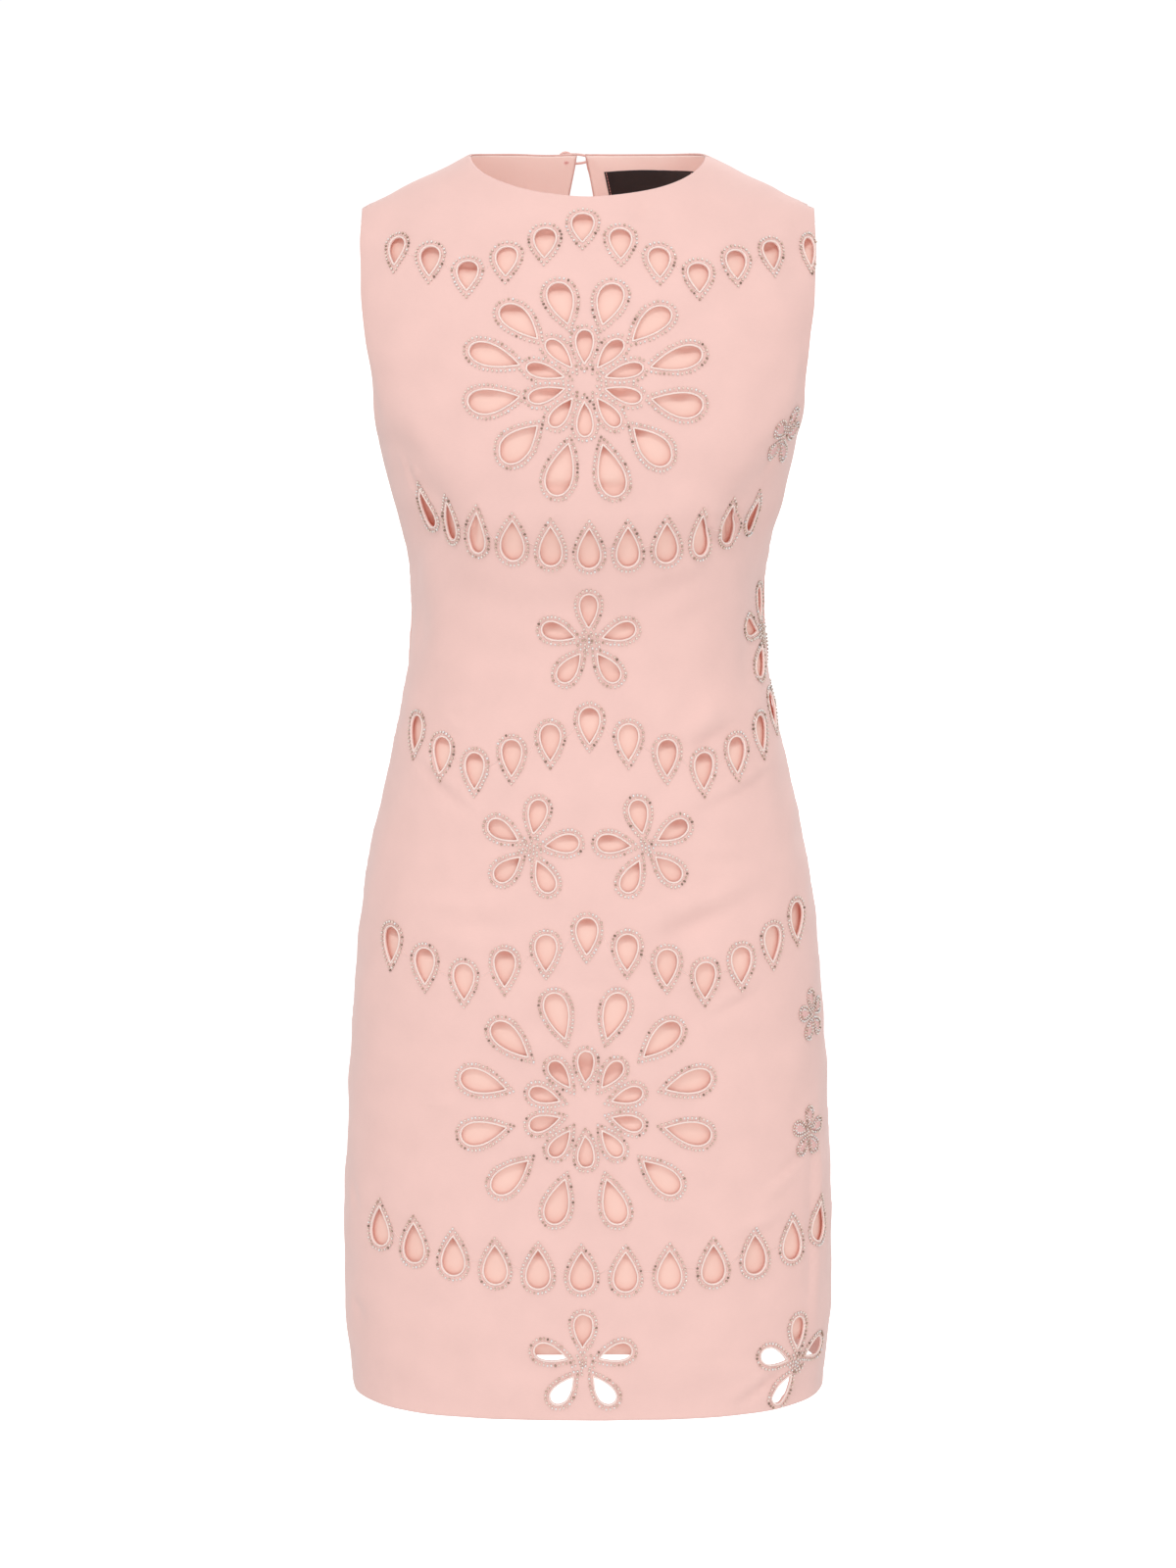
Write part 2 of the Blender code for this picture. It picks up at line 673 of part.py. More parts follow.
def make_button(material, collection):
    """A covered dome button on a shank, beside the keyhole on the outside of the back."""
    stand = LOOP_THICKNESS + 4 * SEAM_GAP
    foot = 2 * SEAM_GAP
    profile = [(BUTTON_RADIUS * turned.share, stand + turned.height) for turned in DOME]
    profile += [(SHANK_RADIUS, stand), (SHANK_RADIUS, foot), (0, foot)]
    bm = bmesh.new()
    verts = [bm.verts.new((radius, 0, height)) for radius, height in profile]
    for a, b in zip(verts, verts[1:]):
        bm.edges.new((a, b))
    mesh = bpy.data.meshes.new("button")
    bm.to_mesh(mesh)
    bm.free()
    button = add_object("button", mesh, material, collection)
    screw = button.modifiers.new("turned", "SCREW")
    screw.axis = "Z"
    screw.steps = screw.render_steps = BUTTON_STEPS
    screw.use_merge_vertices = True
    screw.merge_threshold = MERGE_DISTANCE
    screw.use_normal_calculate = True
    seat = flat_at("back", *BUTTON_CENTRE)
    facing = outward("back", *seat).to_track_quat("Z", "Y").to_matrix().to_4x4()
    button.matrix_world = Matrix.Translation(placed("back", *seat)) @ facing
    return button


def main():
    clear_scene()
    collection = bpy.data.collections.new("shift_dress")
    bpy.context.scene.collection.children.link(collection)
    poplin = make_material("pink_poplin", POPLIN_PINK, 0.75)
    lining = make_material("peach_lining", LINING_PEACH, 0.6)
    black = make_material("black_satin", LABEL_BLACK, 0.5)
    for side in ("front", "back"):
        make_panel(side, poplin, collection)
        make_lining(side, lining, collection)
    make_label(black, collection)
    make_loop(poplin, collection)
    make_button(poplin, collection)


main()
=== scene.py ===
# %% [markdown]
# # A beaded cutwork shift dress
# The dress is cut from poplin, lined, and stands open as it does when it is worn. Drop shaped petals are cut
# out of its panels, edged with a satin cord and framed with small silver beads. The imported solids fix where
# every panel lies. This file makes the cloth, cord, beads and sewing that show, on the same flat pattern.

# %% Load the fixed frame
import math
from collections import defaultdict, namedtuple

import bmesh
import bpy
import numpy as np
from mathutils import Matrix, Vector
from mathutils.geometry import delaunay_2d_cdt


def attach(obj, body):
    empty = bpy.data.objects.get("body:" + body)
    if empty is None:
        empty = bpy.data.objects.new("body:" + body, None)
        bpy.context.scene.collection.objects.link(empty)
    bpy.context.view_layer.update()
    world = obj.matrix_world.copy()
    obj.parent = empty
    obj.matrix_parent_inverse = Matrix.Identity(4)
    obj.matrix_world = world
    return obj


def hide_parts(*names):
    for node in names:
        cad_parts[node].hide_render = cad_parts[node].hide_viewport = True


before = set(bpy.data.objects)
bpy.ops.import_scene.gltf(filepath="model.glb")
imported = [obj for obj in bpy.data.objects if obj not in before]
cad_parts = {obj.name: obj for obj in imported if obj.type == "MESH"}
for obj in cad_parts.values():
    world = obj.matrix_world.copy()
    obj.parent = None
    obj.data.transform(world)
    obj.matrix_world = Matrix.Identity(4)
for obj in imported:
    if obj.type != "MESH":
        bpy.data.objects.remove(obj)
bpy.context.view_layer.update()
print("nodes in the frame:", sorted(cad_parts))

# %% [markdown]
# ## The camera
# A long lens keeps the sides of the dress nearly upright. The camera stands on the centre line, a little
# above the neck, and looks slightly down at the middle of the dress.

# %% Camera
CAMERA_PLACE = Vector((0, -3.2, 0.10))
CAMERA_AIM = Vector((0, 0, -0.45503))
LENS_MM = 102.29
LONG_SIDE_MM = 36.0

camera_data = bpy.data.cameras.new("camera")
camera_data.sensor_width = LONG_SIDE_MM
camera_data.lens = LENS_MM
camera = bpy.data.objects.new("camera", camera_data)
camera.location = CAMERA_PLACE
camera.rotation_euler = (CAMERA_AIM - CAMERA_PLACE).to_track_quat("-Z", "Y").to_euler()
bpy.context.scene.collection.objects.link(camera)
bpy.context.scene.camera = camera
print("camera pitch in degrees:", round(math.degrees(camera.rotation_euler.x) - 90, 2))

# %% [markdown]
# ## The floor and the light
# White studio pictures are lit from all round, with lamps that give the cloth its form. Here the world gives
# the even part. The key lamp stands high on the left, so each cut petal keeps a thin shadow along its upper
# edge. A wide lamp low in front fills the shadows, and one behind lights the back. The floor lies well below
# the hem. It glows for the camera alone, because light from below would wash out every fold of the dress.

# %% Floor, lamps and world
FLOOR_HEIGHT = -1.9
FLOOR_RADIUS = 40.0
Lamp = namedtuple("Lamp", "name place size watts")
LAMPS = [
    Lamp("key", (-0.5, -2.6, 2.9), 0.6, 29),
    Lamp("fill", (0.3, -5.0, -0.7), 3.0, 57),
    Lamp("back", (0.8, 2.8, 1.9), 1.2, 30),
]
AMBIENT = 0.80
BACKGROUND = 1.05
FLOOR_GREY = 0.72
FLOOR_GLOW = 0.85


def new_material(name):
    """A material with a Principled shader, its node tree and that shader."""
    material = bpy.data.materials.new(name)
    material.use_nodes = True
    return material, material.node_tree, material.node_tree.nodes["Principled BSDF"]


def for_camera(tree, seen, otherwise):
    """A strength that differs for what the camera sees and for the light that things receive."""
    ray = tree.nodes.new("ShaderNodeLightPath")
    level = tree.nodes.new("ShaderNodeMapRange")
    level.inputs["To Min"].default_value = otherwise
    level.inputs["To Max"].default_value = seen
    tree.links.new(ray.outputs["Is Camera Ray"], level.inputs["Value"])
    return level.outputs["Result"]


def add_object(name, mesh, *materials):
    obj = bpy.data.objects.new(name, mesh)
    for material in materials:
        mesh.materials.append(material)
    bpy.context.scene.collection.objects.link(obj)
    return obj


floor_mesh = bpy.data.meshes.new("floor")
bm = bmesh.new()
bmesh.ops.create_circle(bm, cap_ends=True, radius=FLOOR_RADIUS, segments=64)
bmesh.ops.translate(bm, verts=bm.verts, vec=(0, 0, FLOOR_HEIGHT))
bm.to_mesh(floor_mesh)
bm.free()
floor_paint, floor_tree, floor_shader = new_material("floor_white")
floor_shader.inputs["Base Color"].default_value = (FLOOR_GREY, FLOOR_GREY, FLOOR_GREY, 1)
floor_shader.inputs["Roughness"].default_value = 0.9
floor_shader.inputs["Emission Color"].default_value = (1, 1, 1, 1)
floor_tree.links.new(for_camera(floor_tree, FLOOR_GLOW, 0.0), floor_shader.inputs["Emission Strength"])
add_object("floor", floor_mesh, floor_paint)

for lamp in LAMPS:
    light = bpy.data.lights.new(lamp.name, "AREA")
    light.shape = "DISK"
    light.size = lamp.size
    light.energy = lamp.watts
    lamp_object = bpy.data.objects.new(lamp.name, light)
    lamp_object.location = lamp.place
    lamp_object.rotation_euler = (CAMERA_AIM - Vector(lamp.place)).to_track_quat("-Z", "Y").to_euler()
    bpy.context.scene.collection.objects.link(lamp_object)

world = bpy.data.worlds.new("studio")
world.use_nodes = True
bpy.context.scene.world = world
sky = world.node_tree.nodes["Background"]
sky.inputs["Color"].default_value = (1, 1, 1, 1)
world.node_tree.links.new(for_camera(world.node_tree, BACKGROUND, AMBIENT), sky.inputs["Strength"])
bpy.context.scene.view_settings.view_transform = "Standard"
print("lamps:", [lamp.name for lamp in LAMPS])

# %% [markdown]
# ## The sizes of the dress
# These are the sizes that the solids were made from, but for the lining's hem, which hangs a little higher.
# The figure is a stack of level sections: half the width, how far it reaches forward and back, and how
# square it is, where 2 is an ellipse. Repeating them puts the fine cloth on the same smooth figure, without
# the flat faces of the coarse solids.

# %% Driving sizes
HEM = -0.900
CHEST_LINE = -0.200
NECK_HALF = 0.0835
FRONT_NECK_DROP = 0.0265
BACK_NECK_DROP = 0.0015
SHOULDER_HALF = 0.1615
SHOULDER_DROP = 0.0385
LINING_HEM = -0.8515
LABEL_SIZE = (0.060, 0.020)
LABEL_CORNER = (0.012, -0.0131)
LABEL_LEAN = math.radians(9.5)
KEYHOLE_CENTRE = -0.0050
BUTTON_CENTRE = (-0.0160, -0.0065)
LOOP_CENTRE = (-0.0105, -0.0063)
LOOP_HALF = (0.0120, 0.0034)

Stage = namedtuple("Stage", "down half_width")
KEYHOLE = [
    Stage(0.000, 0.0026),
    Stage(0.010, 0.0034),
    Stage(0.022, 0.0054),
    Stage(0.034, 0.0074),
    Stage(0.043, 0.0080),
    Stage(0.050, 0.0066),
    Stage(0.054, 0.0036),
    Stage(0.055, 0.0000),
]

Section = namedtuple("Section", "height half_width front back square")
SECTIONS = [
    Section(0.000, 0.1610, 0.124, 0.104, 2.40),
    Section(-0.040, 0.1612, 0.124, 0.104, 2.40),
    Section(-0.060, 0.1618, 0.124, 0.104, 2.40),
    Section(-0.100, 0.1606, 0.124, 0.104, 2.40),
    Section(-0.140, 0.1568, 0.124, 0.104, 2.40),
    Section(-0.180, 0.1530, 0.124, 0.104, 2.40),
    Section(-0.200, 0.1504, 0.125, 0.103, 2.38),
    Section(-0.240, 0.1414, 0.125, 0.098, 2.35),
    Section(-0.280, 0.1315, 0.113, 0.090, 2.30),
    Section(-0.320, 0.1278, 0.102, 0.085, 2.30),
    Section(-0.360, 0.1300, 0.100, 0.087, 2.30),
    Section(-0.400, 0.1366, 0.102, 0.095, 2.30),
    Section(-0.440, 0.1450, 0.106, 0.105, 2.35),
    Section(-0.480, 0.1543, 0.109, 0.113, 2.40),
    Section(-0.540, 0.1652, 0.113, 0.120, 2.50),
    Section(-0.620, 0.1725, 0.116, 0.121, 2.55),
    Section(-0.700, 0.1769, 0.118, 0.120, 2.60),
    Section(-0.780, 0.1802, 0.119, 0.119, 2.65),
    Section(-0.840, 0.1800, 0.119, 0.118, 2.70),
    Section(-0.900, 0.1751, 0.118, 0.116, 2.75),
]
ROUNDING = {"front": 1.7, "back": 2.3}
FACING = {"front": -1, "back": 1}
SIDES = ("front", "back")
NECK_POWER = 1.9
NECK_ROUNDING = 0.030
ARMHOLE_DEEPEST = math.radians(63)
ARMHOLE_AT_TIP = math.radians(72)
ARMHOLE_DEEPEST_AT = 0.55
ARMHOLE_POWER = 2.2
print("length of the dress in mm:", round(-HEM * 1000))

# %% [markdown]
# ## From a flat pattern to the figure
# A pattern cutter draws on a flat table, so every piece here is drawn with two lengths: across, measured
# round the cloth from the centre line, and along, which is the height up to the chest line and the length up
# the cloth above it. The functions below carry such a flat point to its place in space. They work on whole
# arrays of points at once, because the fine cloth has tens of thousands of them.

# %% Sections of the figure
HEIGHTS = np.array([row.height for row in SECTIONS[::-1]])
QUARTER = math.pi / 2
TURNS = np.linspace(0, QUARTER, 181)


def interpolated(column, height):
    """A column of SECTIONS at some heights, on a smooth curve that never overshoots its rows."""
    values = np.array([getattr(row, column) for row in SECTIONS[::-1]])
    steps = np.diff(HEIGHTS)
    rises = np.diff(values) / steps
    same_way = rises[:-1] * rises[1:] > 0
    mean = 2 * rises[:-1] * rises[1:] / np.where(same_way, rises[:-1] + rises[1:], 1)
    slopes = np.zeros(len(values))
    slopes[1:-1] = np.where(same_way, mean, 0)
    height = np.clip(height, HEIGHTS[0], HEIGHTS[-1])
    i = np.clip(np.searchsorted(HEIGHTS, height, side="right") - 1, 0, len(steps) - 1)
    s = (height - HEIGHTS[i]) / steps[i]
    return (
        (1 + 2 * s) * (1 - s) ** 2 * values[i]
        + s * (1 - s) ** 2 * steps[i] * slopes[i]
        + s * s * (3 - 2 * s) * values[i + 1]
        + s * s * (s - 1) * steps[i] * slopes[i + 1]
    )


def shoulder_height(x):
    """Height of the shoulder seam at x."""
    start = math.hypot(NECK_HALF, NECK_ROUNDING)
    run = math.hypot(SHOULDER_HALF, NECK_ROUNDING) - start
    return SHOULDER_DROP / run * (start - np.hypot(x, NECK_ROUNDING))


def armhole_angle(height):
    """Angle round the section at which a panel ends: at the side seam, or at the armhole above it."""
    share = np.clip((np.asarray(height) - CHEST_LINE) / (-SHOULDER_DROP - CHEST_LINE), 0, 1)
    left = np.clip(1 - share / ARMHOLE_DEEPEST_AT, 0, 1)
    lower = QUARTER + (ARMHOLE_DEEPEST - QUARTER) * (1 - left**ARMHOLE_POWER) ** (1 / ARMHOLE_POWER)
    past = np.clip((share - ARMHOLE_DEEPEST_AT) / (1 - ARMHOLE_DEEPEST_AT), 0, 1)
    upper = ARMHOLE_DEEPEST + (ARMHOLE_AT_TIP - ARMHOLE_DEEPEST) * past**2
    return np.where(share < ARMHOLE_DEEPEST_AT, lower, upper)


def sine_power(angle, height):
    return np.abs(np.sin(angle)) ** (2 / interpolated("square", height))


def cosine_power(angle, height):
    return np.cos(angle).clip(0) ** (2 / interpolated("square", height))


def figure_half_width(height):
    capped = np.minimum(height, -SHOULDER_DROP)
    return interpolated("half_width", capped) / sine_power(armhole_angle(capped), capped)


def x_at(angle, height):
    return np.copysign(figure_half_width(height) * sine_power(angle, height), angle)


print("waist half width in mm:", round(float(figure_half_width(-0.32)) * 1000, 1))

# %% [markdown]
# Lengths round a section and up the shoulder have no formula, so they are added up once in tables, and read
# back by straight interpolation. A batch keeps the tables' memory small.

# %% Lengths round the figure and up it
LEVELS = np.arange(HEM - 0.012, CHEST_LINE + 0.0021, 0.002)
BATCH = 4000


def quarter_lengths(side):
    """Lengths round a quarter of the section at each level, from the centre line."""
    power = 2 / interpolated("square", LEVELS)[:, None]
    x = figure_half_width(LEVELS)[:, None] * np.sin(TURNS) ** power
    y = interpolated(side, LEVELS)[:, None] * np.cos(TURNS).clip(0) ** power
    steps = np.hypot(np.diff(x), np.diff(y))
    return np.hstack([np.zeros((len(LEVELS), 1)), np.cumsum(steps, axis=1)])


QUARTERS = {side: quarter_lengths(side) for side in SIDES}
RISES = {side: np.sin(TURNS) ** (2 / ROUNDING[side]) for side in SIDES}
DEPTHS = {side: np.cos(TURNS).clip(0) ** (2 / ROUNDING[side]) for side in SIDES}


def in_batches(function):
    """Makes a function of a side and some columns of points work through them a batch at a time."""

    def run(side, *columns):
        columns = np.broadcast_arrays(*[np.atleast_1d(np.asarray(c, float)) for c in columns])
        parts = [
            function(side, *[c[k : k + BATCH] for c in columns]) for k in range(0, len(columns[0]), BATCH)
        ]
        return np.concatenate(parts)

    return run


def rows_at(side, level):
    """The quarter's lengths at levels between the table's rows."""
    above_first = np.minimum(level, CHEST_LINE) - LEVELS[0]
    at = np.clip(above_first / (LEVELS[1] - LEVELS[0]), 0, len(LEVELS) - 2)
    i = at.astype(int)
    share = (at - i)[:, None]
    return QUARTERS[side][i] * (1 - share) + QUARTERS[side][i + 1] * share


def read_across(rows, wanted, marks):
    """Reads in each row where the wanted value falls, and gives the mark at that place."""
    high = np.clip((rows < wanted[:, None]).sum(axis=1), 1, rows.shape[1] - 1)
    n = np.arange(len(rows))
    below, above = rows[n, high - 1], rows[n, high]
    share = np.clip((wanted - below) / np.maximum(above - below, 1e-12), 0, 1)
    return marks[high - 1] + share * (marks[high] - marks[high - 1])


@in_batches
def across_of(side, angle, level):
    rows = rows_at(side, level)
    at = np.clip(np.abs(angle) / QUARTER * (len(TURNS) - 1), 0, len(TURNS) - 1.000001)
    j = at.astype(int)
    n = np.arange(len(rows))
    return np.copysign(rows[n, j] * (1 - at + j) + rows[n, j + 1] * (at - j), angle)


@in_batches
def angle_of(side, across, level):
    return np.copysign(read_across(rows_at(side, level), np.abs(across), TURNS), across)


def profile_lengths(side, angle):
    """Lengths up the cloth from the chest line to the shoulder seam, for lines at some angles."""
    tall = shoulder_height(x_at(angle, -SHOULDER_DROP)) - CHEST_LINE
    deep = interpolated(side, CHEST_LINE) * cosine_power(angle, CHEST_LINE)
    steps = np.hypot(tall[:, None] * np.diff(RISES[side]), deep[:, None] * np.diff(DEPTHS[side]))
    return np.hstack([np.zeros((len(angle), 1)), np.cumsum(steps, axis=1)])


@in_batches
def flat(side, angle, height):
    """Flat points, as rows of (across, along), of the cloth at some angles and heights."""
    low = height <= CHEST_LINE
    tall = shoulder_height(x_at(angle, height)) - CHEST_LINE
    rise = np.clip((height - CHEST_LINE) / tall, 0, 1)
    at = np.interp(rise, RISES[side], np.arange(len(TURNS)))
    j = np.minimum(at.astype(int), len(TURNS) - 2)
    lengths = profile_lengths(side, angle)
    n = np.arange(len(angle))
    up = lengths[n, j] * (1 - at + j) + lengths[n, j + 1] * (at - j)
    across = across_of(side, angle, np.minimum(height, CHEST_LINE))
    return np.column_stack([across, np.where(low, height, CHEST_LINE + up)])


def flat_at(side, x, height):
    """Flat points of the cloth at some x and heights."""
    share = np.clip(np.abs(x) / figure_half_width(height), 0, 1)
    angle = np.arcsin(share ** (interpolated("square", height) / 2))
    return flat(side, np.copysign(angle, x), height)


@in_batches
def on_figure(side, across, along):
    """The figure's own surface under flat points."""
    low = along <= CHEST_LINE
    angle = angle_of(side, across, np.minimum(along, CHEST_LINE))
    rise = read_across(profile_lengths(side, angle), along - CHEST_LINE, RISES[side])
    rise = np.where(low, 0, rise)
    height = np.where(low, along, CHEST_LINE)
    for _ in range(4):
        tall = shoulder_height(x_at(angle, height)) - CHEST_LINE
        height = np.where(low, along, CHEST_LINE + rise * tall)
    narrowing = (1 - rise ** ROUNDING[side]).clip(0) ** (1 / ROUNDING[side])
    depth = interpolated(side, height) * cosine_power(angle, height) * narrowing
    return np.column_stack([x_at(angle, height), FACING[side] * depth, height])


def half_round(side, along):
    """How far a panel reaches from the centre line to the side seam."""
    return rows_at(side, np.atleast_1d(along))[:, -1]


def outward(side, across, along):
    """Directions out of the cloth at flat points, from their neighbours a little to each side."""
    step = 0.0008
    limit = half_round(side, along)
    right = on_figure(side, np.minimum(across + step, limit), along)
    left = on_figure(side, np.maximum(across - step, -limit), along)
    reach = profile_lengths(side, angle_of(side, across, CHEST_LINE))[:, -1] + CHEST_LINE
    above = on_figure(side, across, np.minimum(along + step, reach))
    below = on_figure(side, across, along - step)
    normal = np.cross(right - left, above - below) * -FACING[side]
    return normal / np.linalg.norm(normal, axis=1)[:, None]


print("hip girth in mm:", round(2000 * float(half_round("front", -0.78)[0] + half_round("back", -0.78)[0])))

# %% [markdown]
# ## Folds
# Cloth on a figure shows soft creases where it is pulled, and small ones round stitching. Each is given as
# one
# row: where it is on the pattern, how long and wide it is, which way it runs, and how far it stands out,
# with troughs below zero. A fold fades towards both ends. The back has similar ones of its own.
#
# Under the bust the cloth is crumpled, so the outer petals of the second row are squeezed narrow and lean.
# The last one at +X is drawn down and flattened too.

# %% Folds
Fold = namedtuple("Fold", "across along length width turn height")
FOLDS = {
    "front": [
        # a short tuck beside the underarm, with a small bump next to it
        Fold(-0.1406, -0.2209, 0.036, 0.0024, -22, -0.0014),
        Fold(-0.1345, -0.2200, 0.012, 0.0035, -22, 0.0012),
        Fold(-0.1470, -0.2120, 0.020, 0.0040, -20, 0.0008),
        Fold(0.1440, -0.2140, 0.022, 0.0030, 24, -0.0010),
        # the bust stands out above hollows that run down and in to the second row of petals
        Fold(-0.1180, -0.1960, 0.110, 0.0200, -50, 0.0022),
        Fold(-0.1280, -0.2620, 0.110, 0.0260, -68, -0.0034),
        Fold(-0.1130, -0.2380, 0.070, 0.0110, -62, -0.0014),
        Fold(0.1200, -0.1940, 0.110, 0.0200, 58, 0.0024),
        Fold(0.1280, -0.2620, 0.120, 0.0270, 66, -0.0038),
        Fold(0.1200, -0.2330, 0.085, 0.0130, 70, -0.0016),
        Fold(0.0654, -0.2248, 0.035, 0.0090, 18, -0.0007),
        Fold(0.0905, -0.2580, 0.034, 0.0028, -18, -0.0022),
        Fold(0.0960, -0.2560, 0.034, 0.0030, -18, 0.0016),
        Fold(0.1180, -0.2540, 0.036, 0.0028, 8, -0.0018),
        Fold(0.1235, -0.2540, 0.034, 0.0030, 8, 0.0014),
        Fold(-0.0840, -0.2560, 0.034, 0.0028, 8, -0.0014),
        # a pull beside the neck, and soft ones at the shoulders and armholes
        Fold(0.0331, -0.0281, 0.024, 0.0032, 26, -0.0010),
        Fold(0.0390, -0.0300, 0.022, 0.0040, 26, 0.0005),
        Fold(-0.1100, -0.0600, 0.070, 0.0140, 40, 0.0010),
        Fold(0.1180, -0.0900, 0.080, 0.0160, -34, 0.0010),
        Fold(-0.1640, -0.1532, 0.085, 0.0080, 4, -0.0015),
        Fold(0.1560, -0.1450, 0.070, 0.0090, -5, -0.0012),
        # the waist hollows at each side, deeper at the right, with soft pulls that run into it
        Fold(-0.1520, -0.3250, 0.130, 0.0240, -12, -0.0024),
        Fold(0.1460, -0.3250, 0.150, 0.0280, 20, -0.0036),
        Fold(0.0586, -0.2862, 0.075, 0.0040, 70, 0.0006),
        Fold(0.0620, -0.3000, 0.070, 0.0050, 68, -0.0006),
        Fold(0.0700, -0.3140, 0.060, 0.0050, 66, 0.0005),
        # drag lines across the third row of petals, from the side waist down and in to the belly
        Fold(0.0820, -0.3960, 0.045, 0.0090, 52, 0.0024),
        Fold(0.0914, -0.4072, 0.055, 0.0035, 72, -0.0014),
        Fold(0.1131, -0.4406, 0.105, 0.0030, 72, 0.0011),
        Fold(0.1131, -0.4466, 0.100, 0.0035, 72, -0.0008),
        Fold(-0.1049, -0.4378, 0.085, 0.0028, -55, 0.0011),
        Fold(-0.1090, -0.4430, 0.080, 0.0030, -55, -0.0008),
        Fold(-0.0996, -0.3990, 0.024, 0.0022, -64, 0.0006),
        Fold(-0.0970, -0.3925, 0.020, 0.0020, -60, -0.0005),
        # level creases across the hips
        Fold(-0.0923, -0.5240, 0.090, 0.0060, 86, 0.0009),
        Fold(-0.0809, -0.5400, 0.060, 0.0060, 87, -0.0012),
        Fold(0.0860, -0.5200, 0.100, 0.0070, 74, 0.0013),
        Fold(0.0780, -0.5385, 0.095, 0.0070, 72, -0.0019),
        Fold(0.0956, -0.4872, 0.070, 0.0025, 94, 0.0005),
        Fold(0.0900, -0.4945, 0.075, 0.0025, 92, -0.0004),
        Fold(-0.0279, -0.5683, 0.066, 0.0025, 85, 0.0006),
        Fold(0.0000, -0.5800, 0.060, 0.0025, 90, -0.0006),
        Fold(0.0350, -0.5850, 0.055, 0.0030, 91, 0.0004),
        Fold(0.1044, -0.5900, 0.052, 0.0035, 65, 0.0010),
        Fold(0.1080, -0.5975, 0.050, 0.0035, 65, -0.0007),
        Fold(-0.1100, -0.6680, 0.040, 0.0040, 90, 0.0006),
        # pulls towards the lower side seam at the right, and shallow dents at the left
        Fold(0.1534, -0.7200, 0.048, 0.0040, 61, -0.0013),
        Fold(0.1450, -0.7300, 0.062, 0.0045, 56, 0.0011),
        Fold(0.1229, -0.7588, 0.052, 0.0040, 74, 0.0008),
        Fold(0.1290, -0.7650, 0.050, 0.0045, 74, -0.0006),
        Fold(-0.1923, -0.7498, 0.030, 0.0060, -34, -0.0012),
        Fold(-0.1871, -0.8330, 0.024, 0.0060, -42, -0.0010),
        # long folds beside the right side seam
        Fold(0.1760, -0.7700, 0.230, 0.0055, 3, -0.0010),
        Fold(0.1850, -0.7600, 0.210, 0.0060, 3, 0.0009),
        # the bottom edge
        Fold(-0.0108, -0.8738, 0.165, 0.0070, 90, 0.0007),
        Fold(0.0975, -0.8560, 0.085, 0.0040, 92, -0.0006),
        Fold(0.1202, -0.8783, 0.052, 0.0045, 60, 0.0012),
        Fold(0.1290, -0.8800, 0.050, 0.0045, 64, -0.0012),
        Fold(0.1373, -0.8847, 0.050, 0.0045, 67, 0.0010),
    ],
    "back": [
        Fold(-0.070, -0.090, 0.100, 0.016, 32, 0.0014),
        Fold(0.078, -0.105, 0.090, 0.015, -30, 0.0013),
        Fold(0.026, -0.052, 0.060, 0.007, -14, 0.0010),
        Fold(-0.040, -0.060, 0.050, 0.007, 16, 0.0009),
        Fold(-0.128, -0.160, 0.070, 0.012, 26, -0.0014),
        Fold(0.124, -0.172, 0.070, 0.012, -28, -0.0013),
        Fold(-0.060, -0.262, 0.120, 0.013, 76, -0.0019),
        Fold(0.050, -0.286, 0.130, 0.012, 98, -0.0022),
        Fold(-0.030, -0.306, 0.140, 0.011, 86, 0.0018),
        Fold(0.062, -0.318, 0.110, 0.010, 104, 0.0016),
        Fold(-0.070, -0.338, 0.120, 0.010, 80, -0.0020),
        Fold(0.036, -0.352, 0.110, 0.010, 95, -0.0014),
        Fold(-0.112, -0.372, 0.090, 0.010, 58, 0.0017),
        Fold(0.110, -0.380, 0.090, 0.010, -56, 0.0017),
        Fold(-0.100, -0.402, 0.080, 0.009, 56, -0.0013),
        Fold(0.120, -0.416, 0.080, 0.009, -52, -0.0014),
        Fold(-0.050, -0.520, 0.110, 0.009, 84, 0.0013),
        Fold(0.066, -0.538, 0.100, 0.009, 100, -0.0013),
        Fold(0.010, -0.578, 0.080, 0.006, 91, 0.0008),
        Fold(-0.110, -0.600, 0.080, 0.008, 66, -0.0012),
        Fold(0.112, -0.640, 0.090, 0.010, 110, 0.0012),
        Fold(-0.120, -0.740, 0.120, 0.014, 14, 0.0013),
        Fold(0.128, -0.800, 0.120, 0.015, -10, 0.0014),
        Fold(-0.040, -0.845, 0.090, 0.012, 84, -0.0010),
        Fold(0.080, -0.868, 0.090, 0.010, 102, 0.0010),
    ],
}
FOLD_DEPTH = 1.8
HEM_DEPTH = 0.0090
SEAM_PUCKER = 0.00022
SEAM_PUCKER_LENGTH = 0.0125
SEAM_PUCKER_REACH = 0.006
HEM_GROOVE = 0.00035
HEM_GROOVE_REACH = 0.0016
HEM_PUCKER = 0.00022
HEM_PUCKER_LENGTH = 0.0170
HEM_PUCKER_REACH = 0.006
RIPPLE = 0.00022
# Directions and lengths of the small unevenness that woven cloth never loses.
Ripple = namedtuple("Ripple", "across along shift")
RIPPLES = [
    Ripple(97, 41, 0.4),
    Ripple(-58, 113, 1.9),
    Ripple(151, -87, 3.1),
    Ripple(-39, -66, 5.0),
    Ripple(23, 171, 2.2),
]


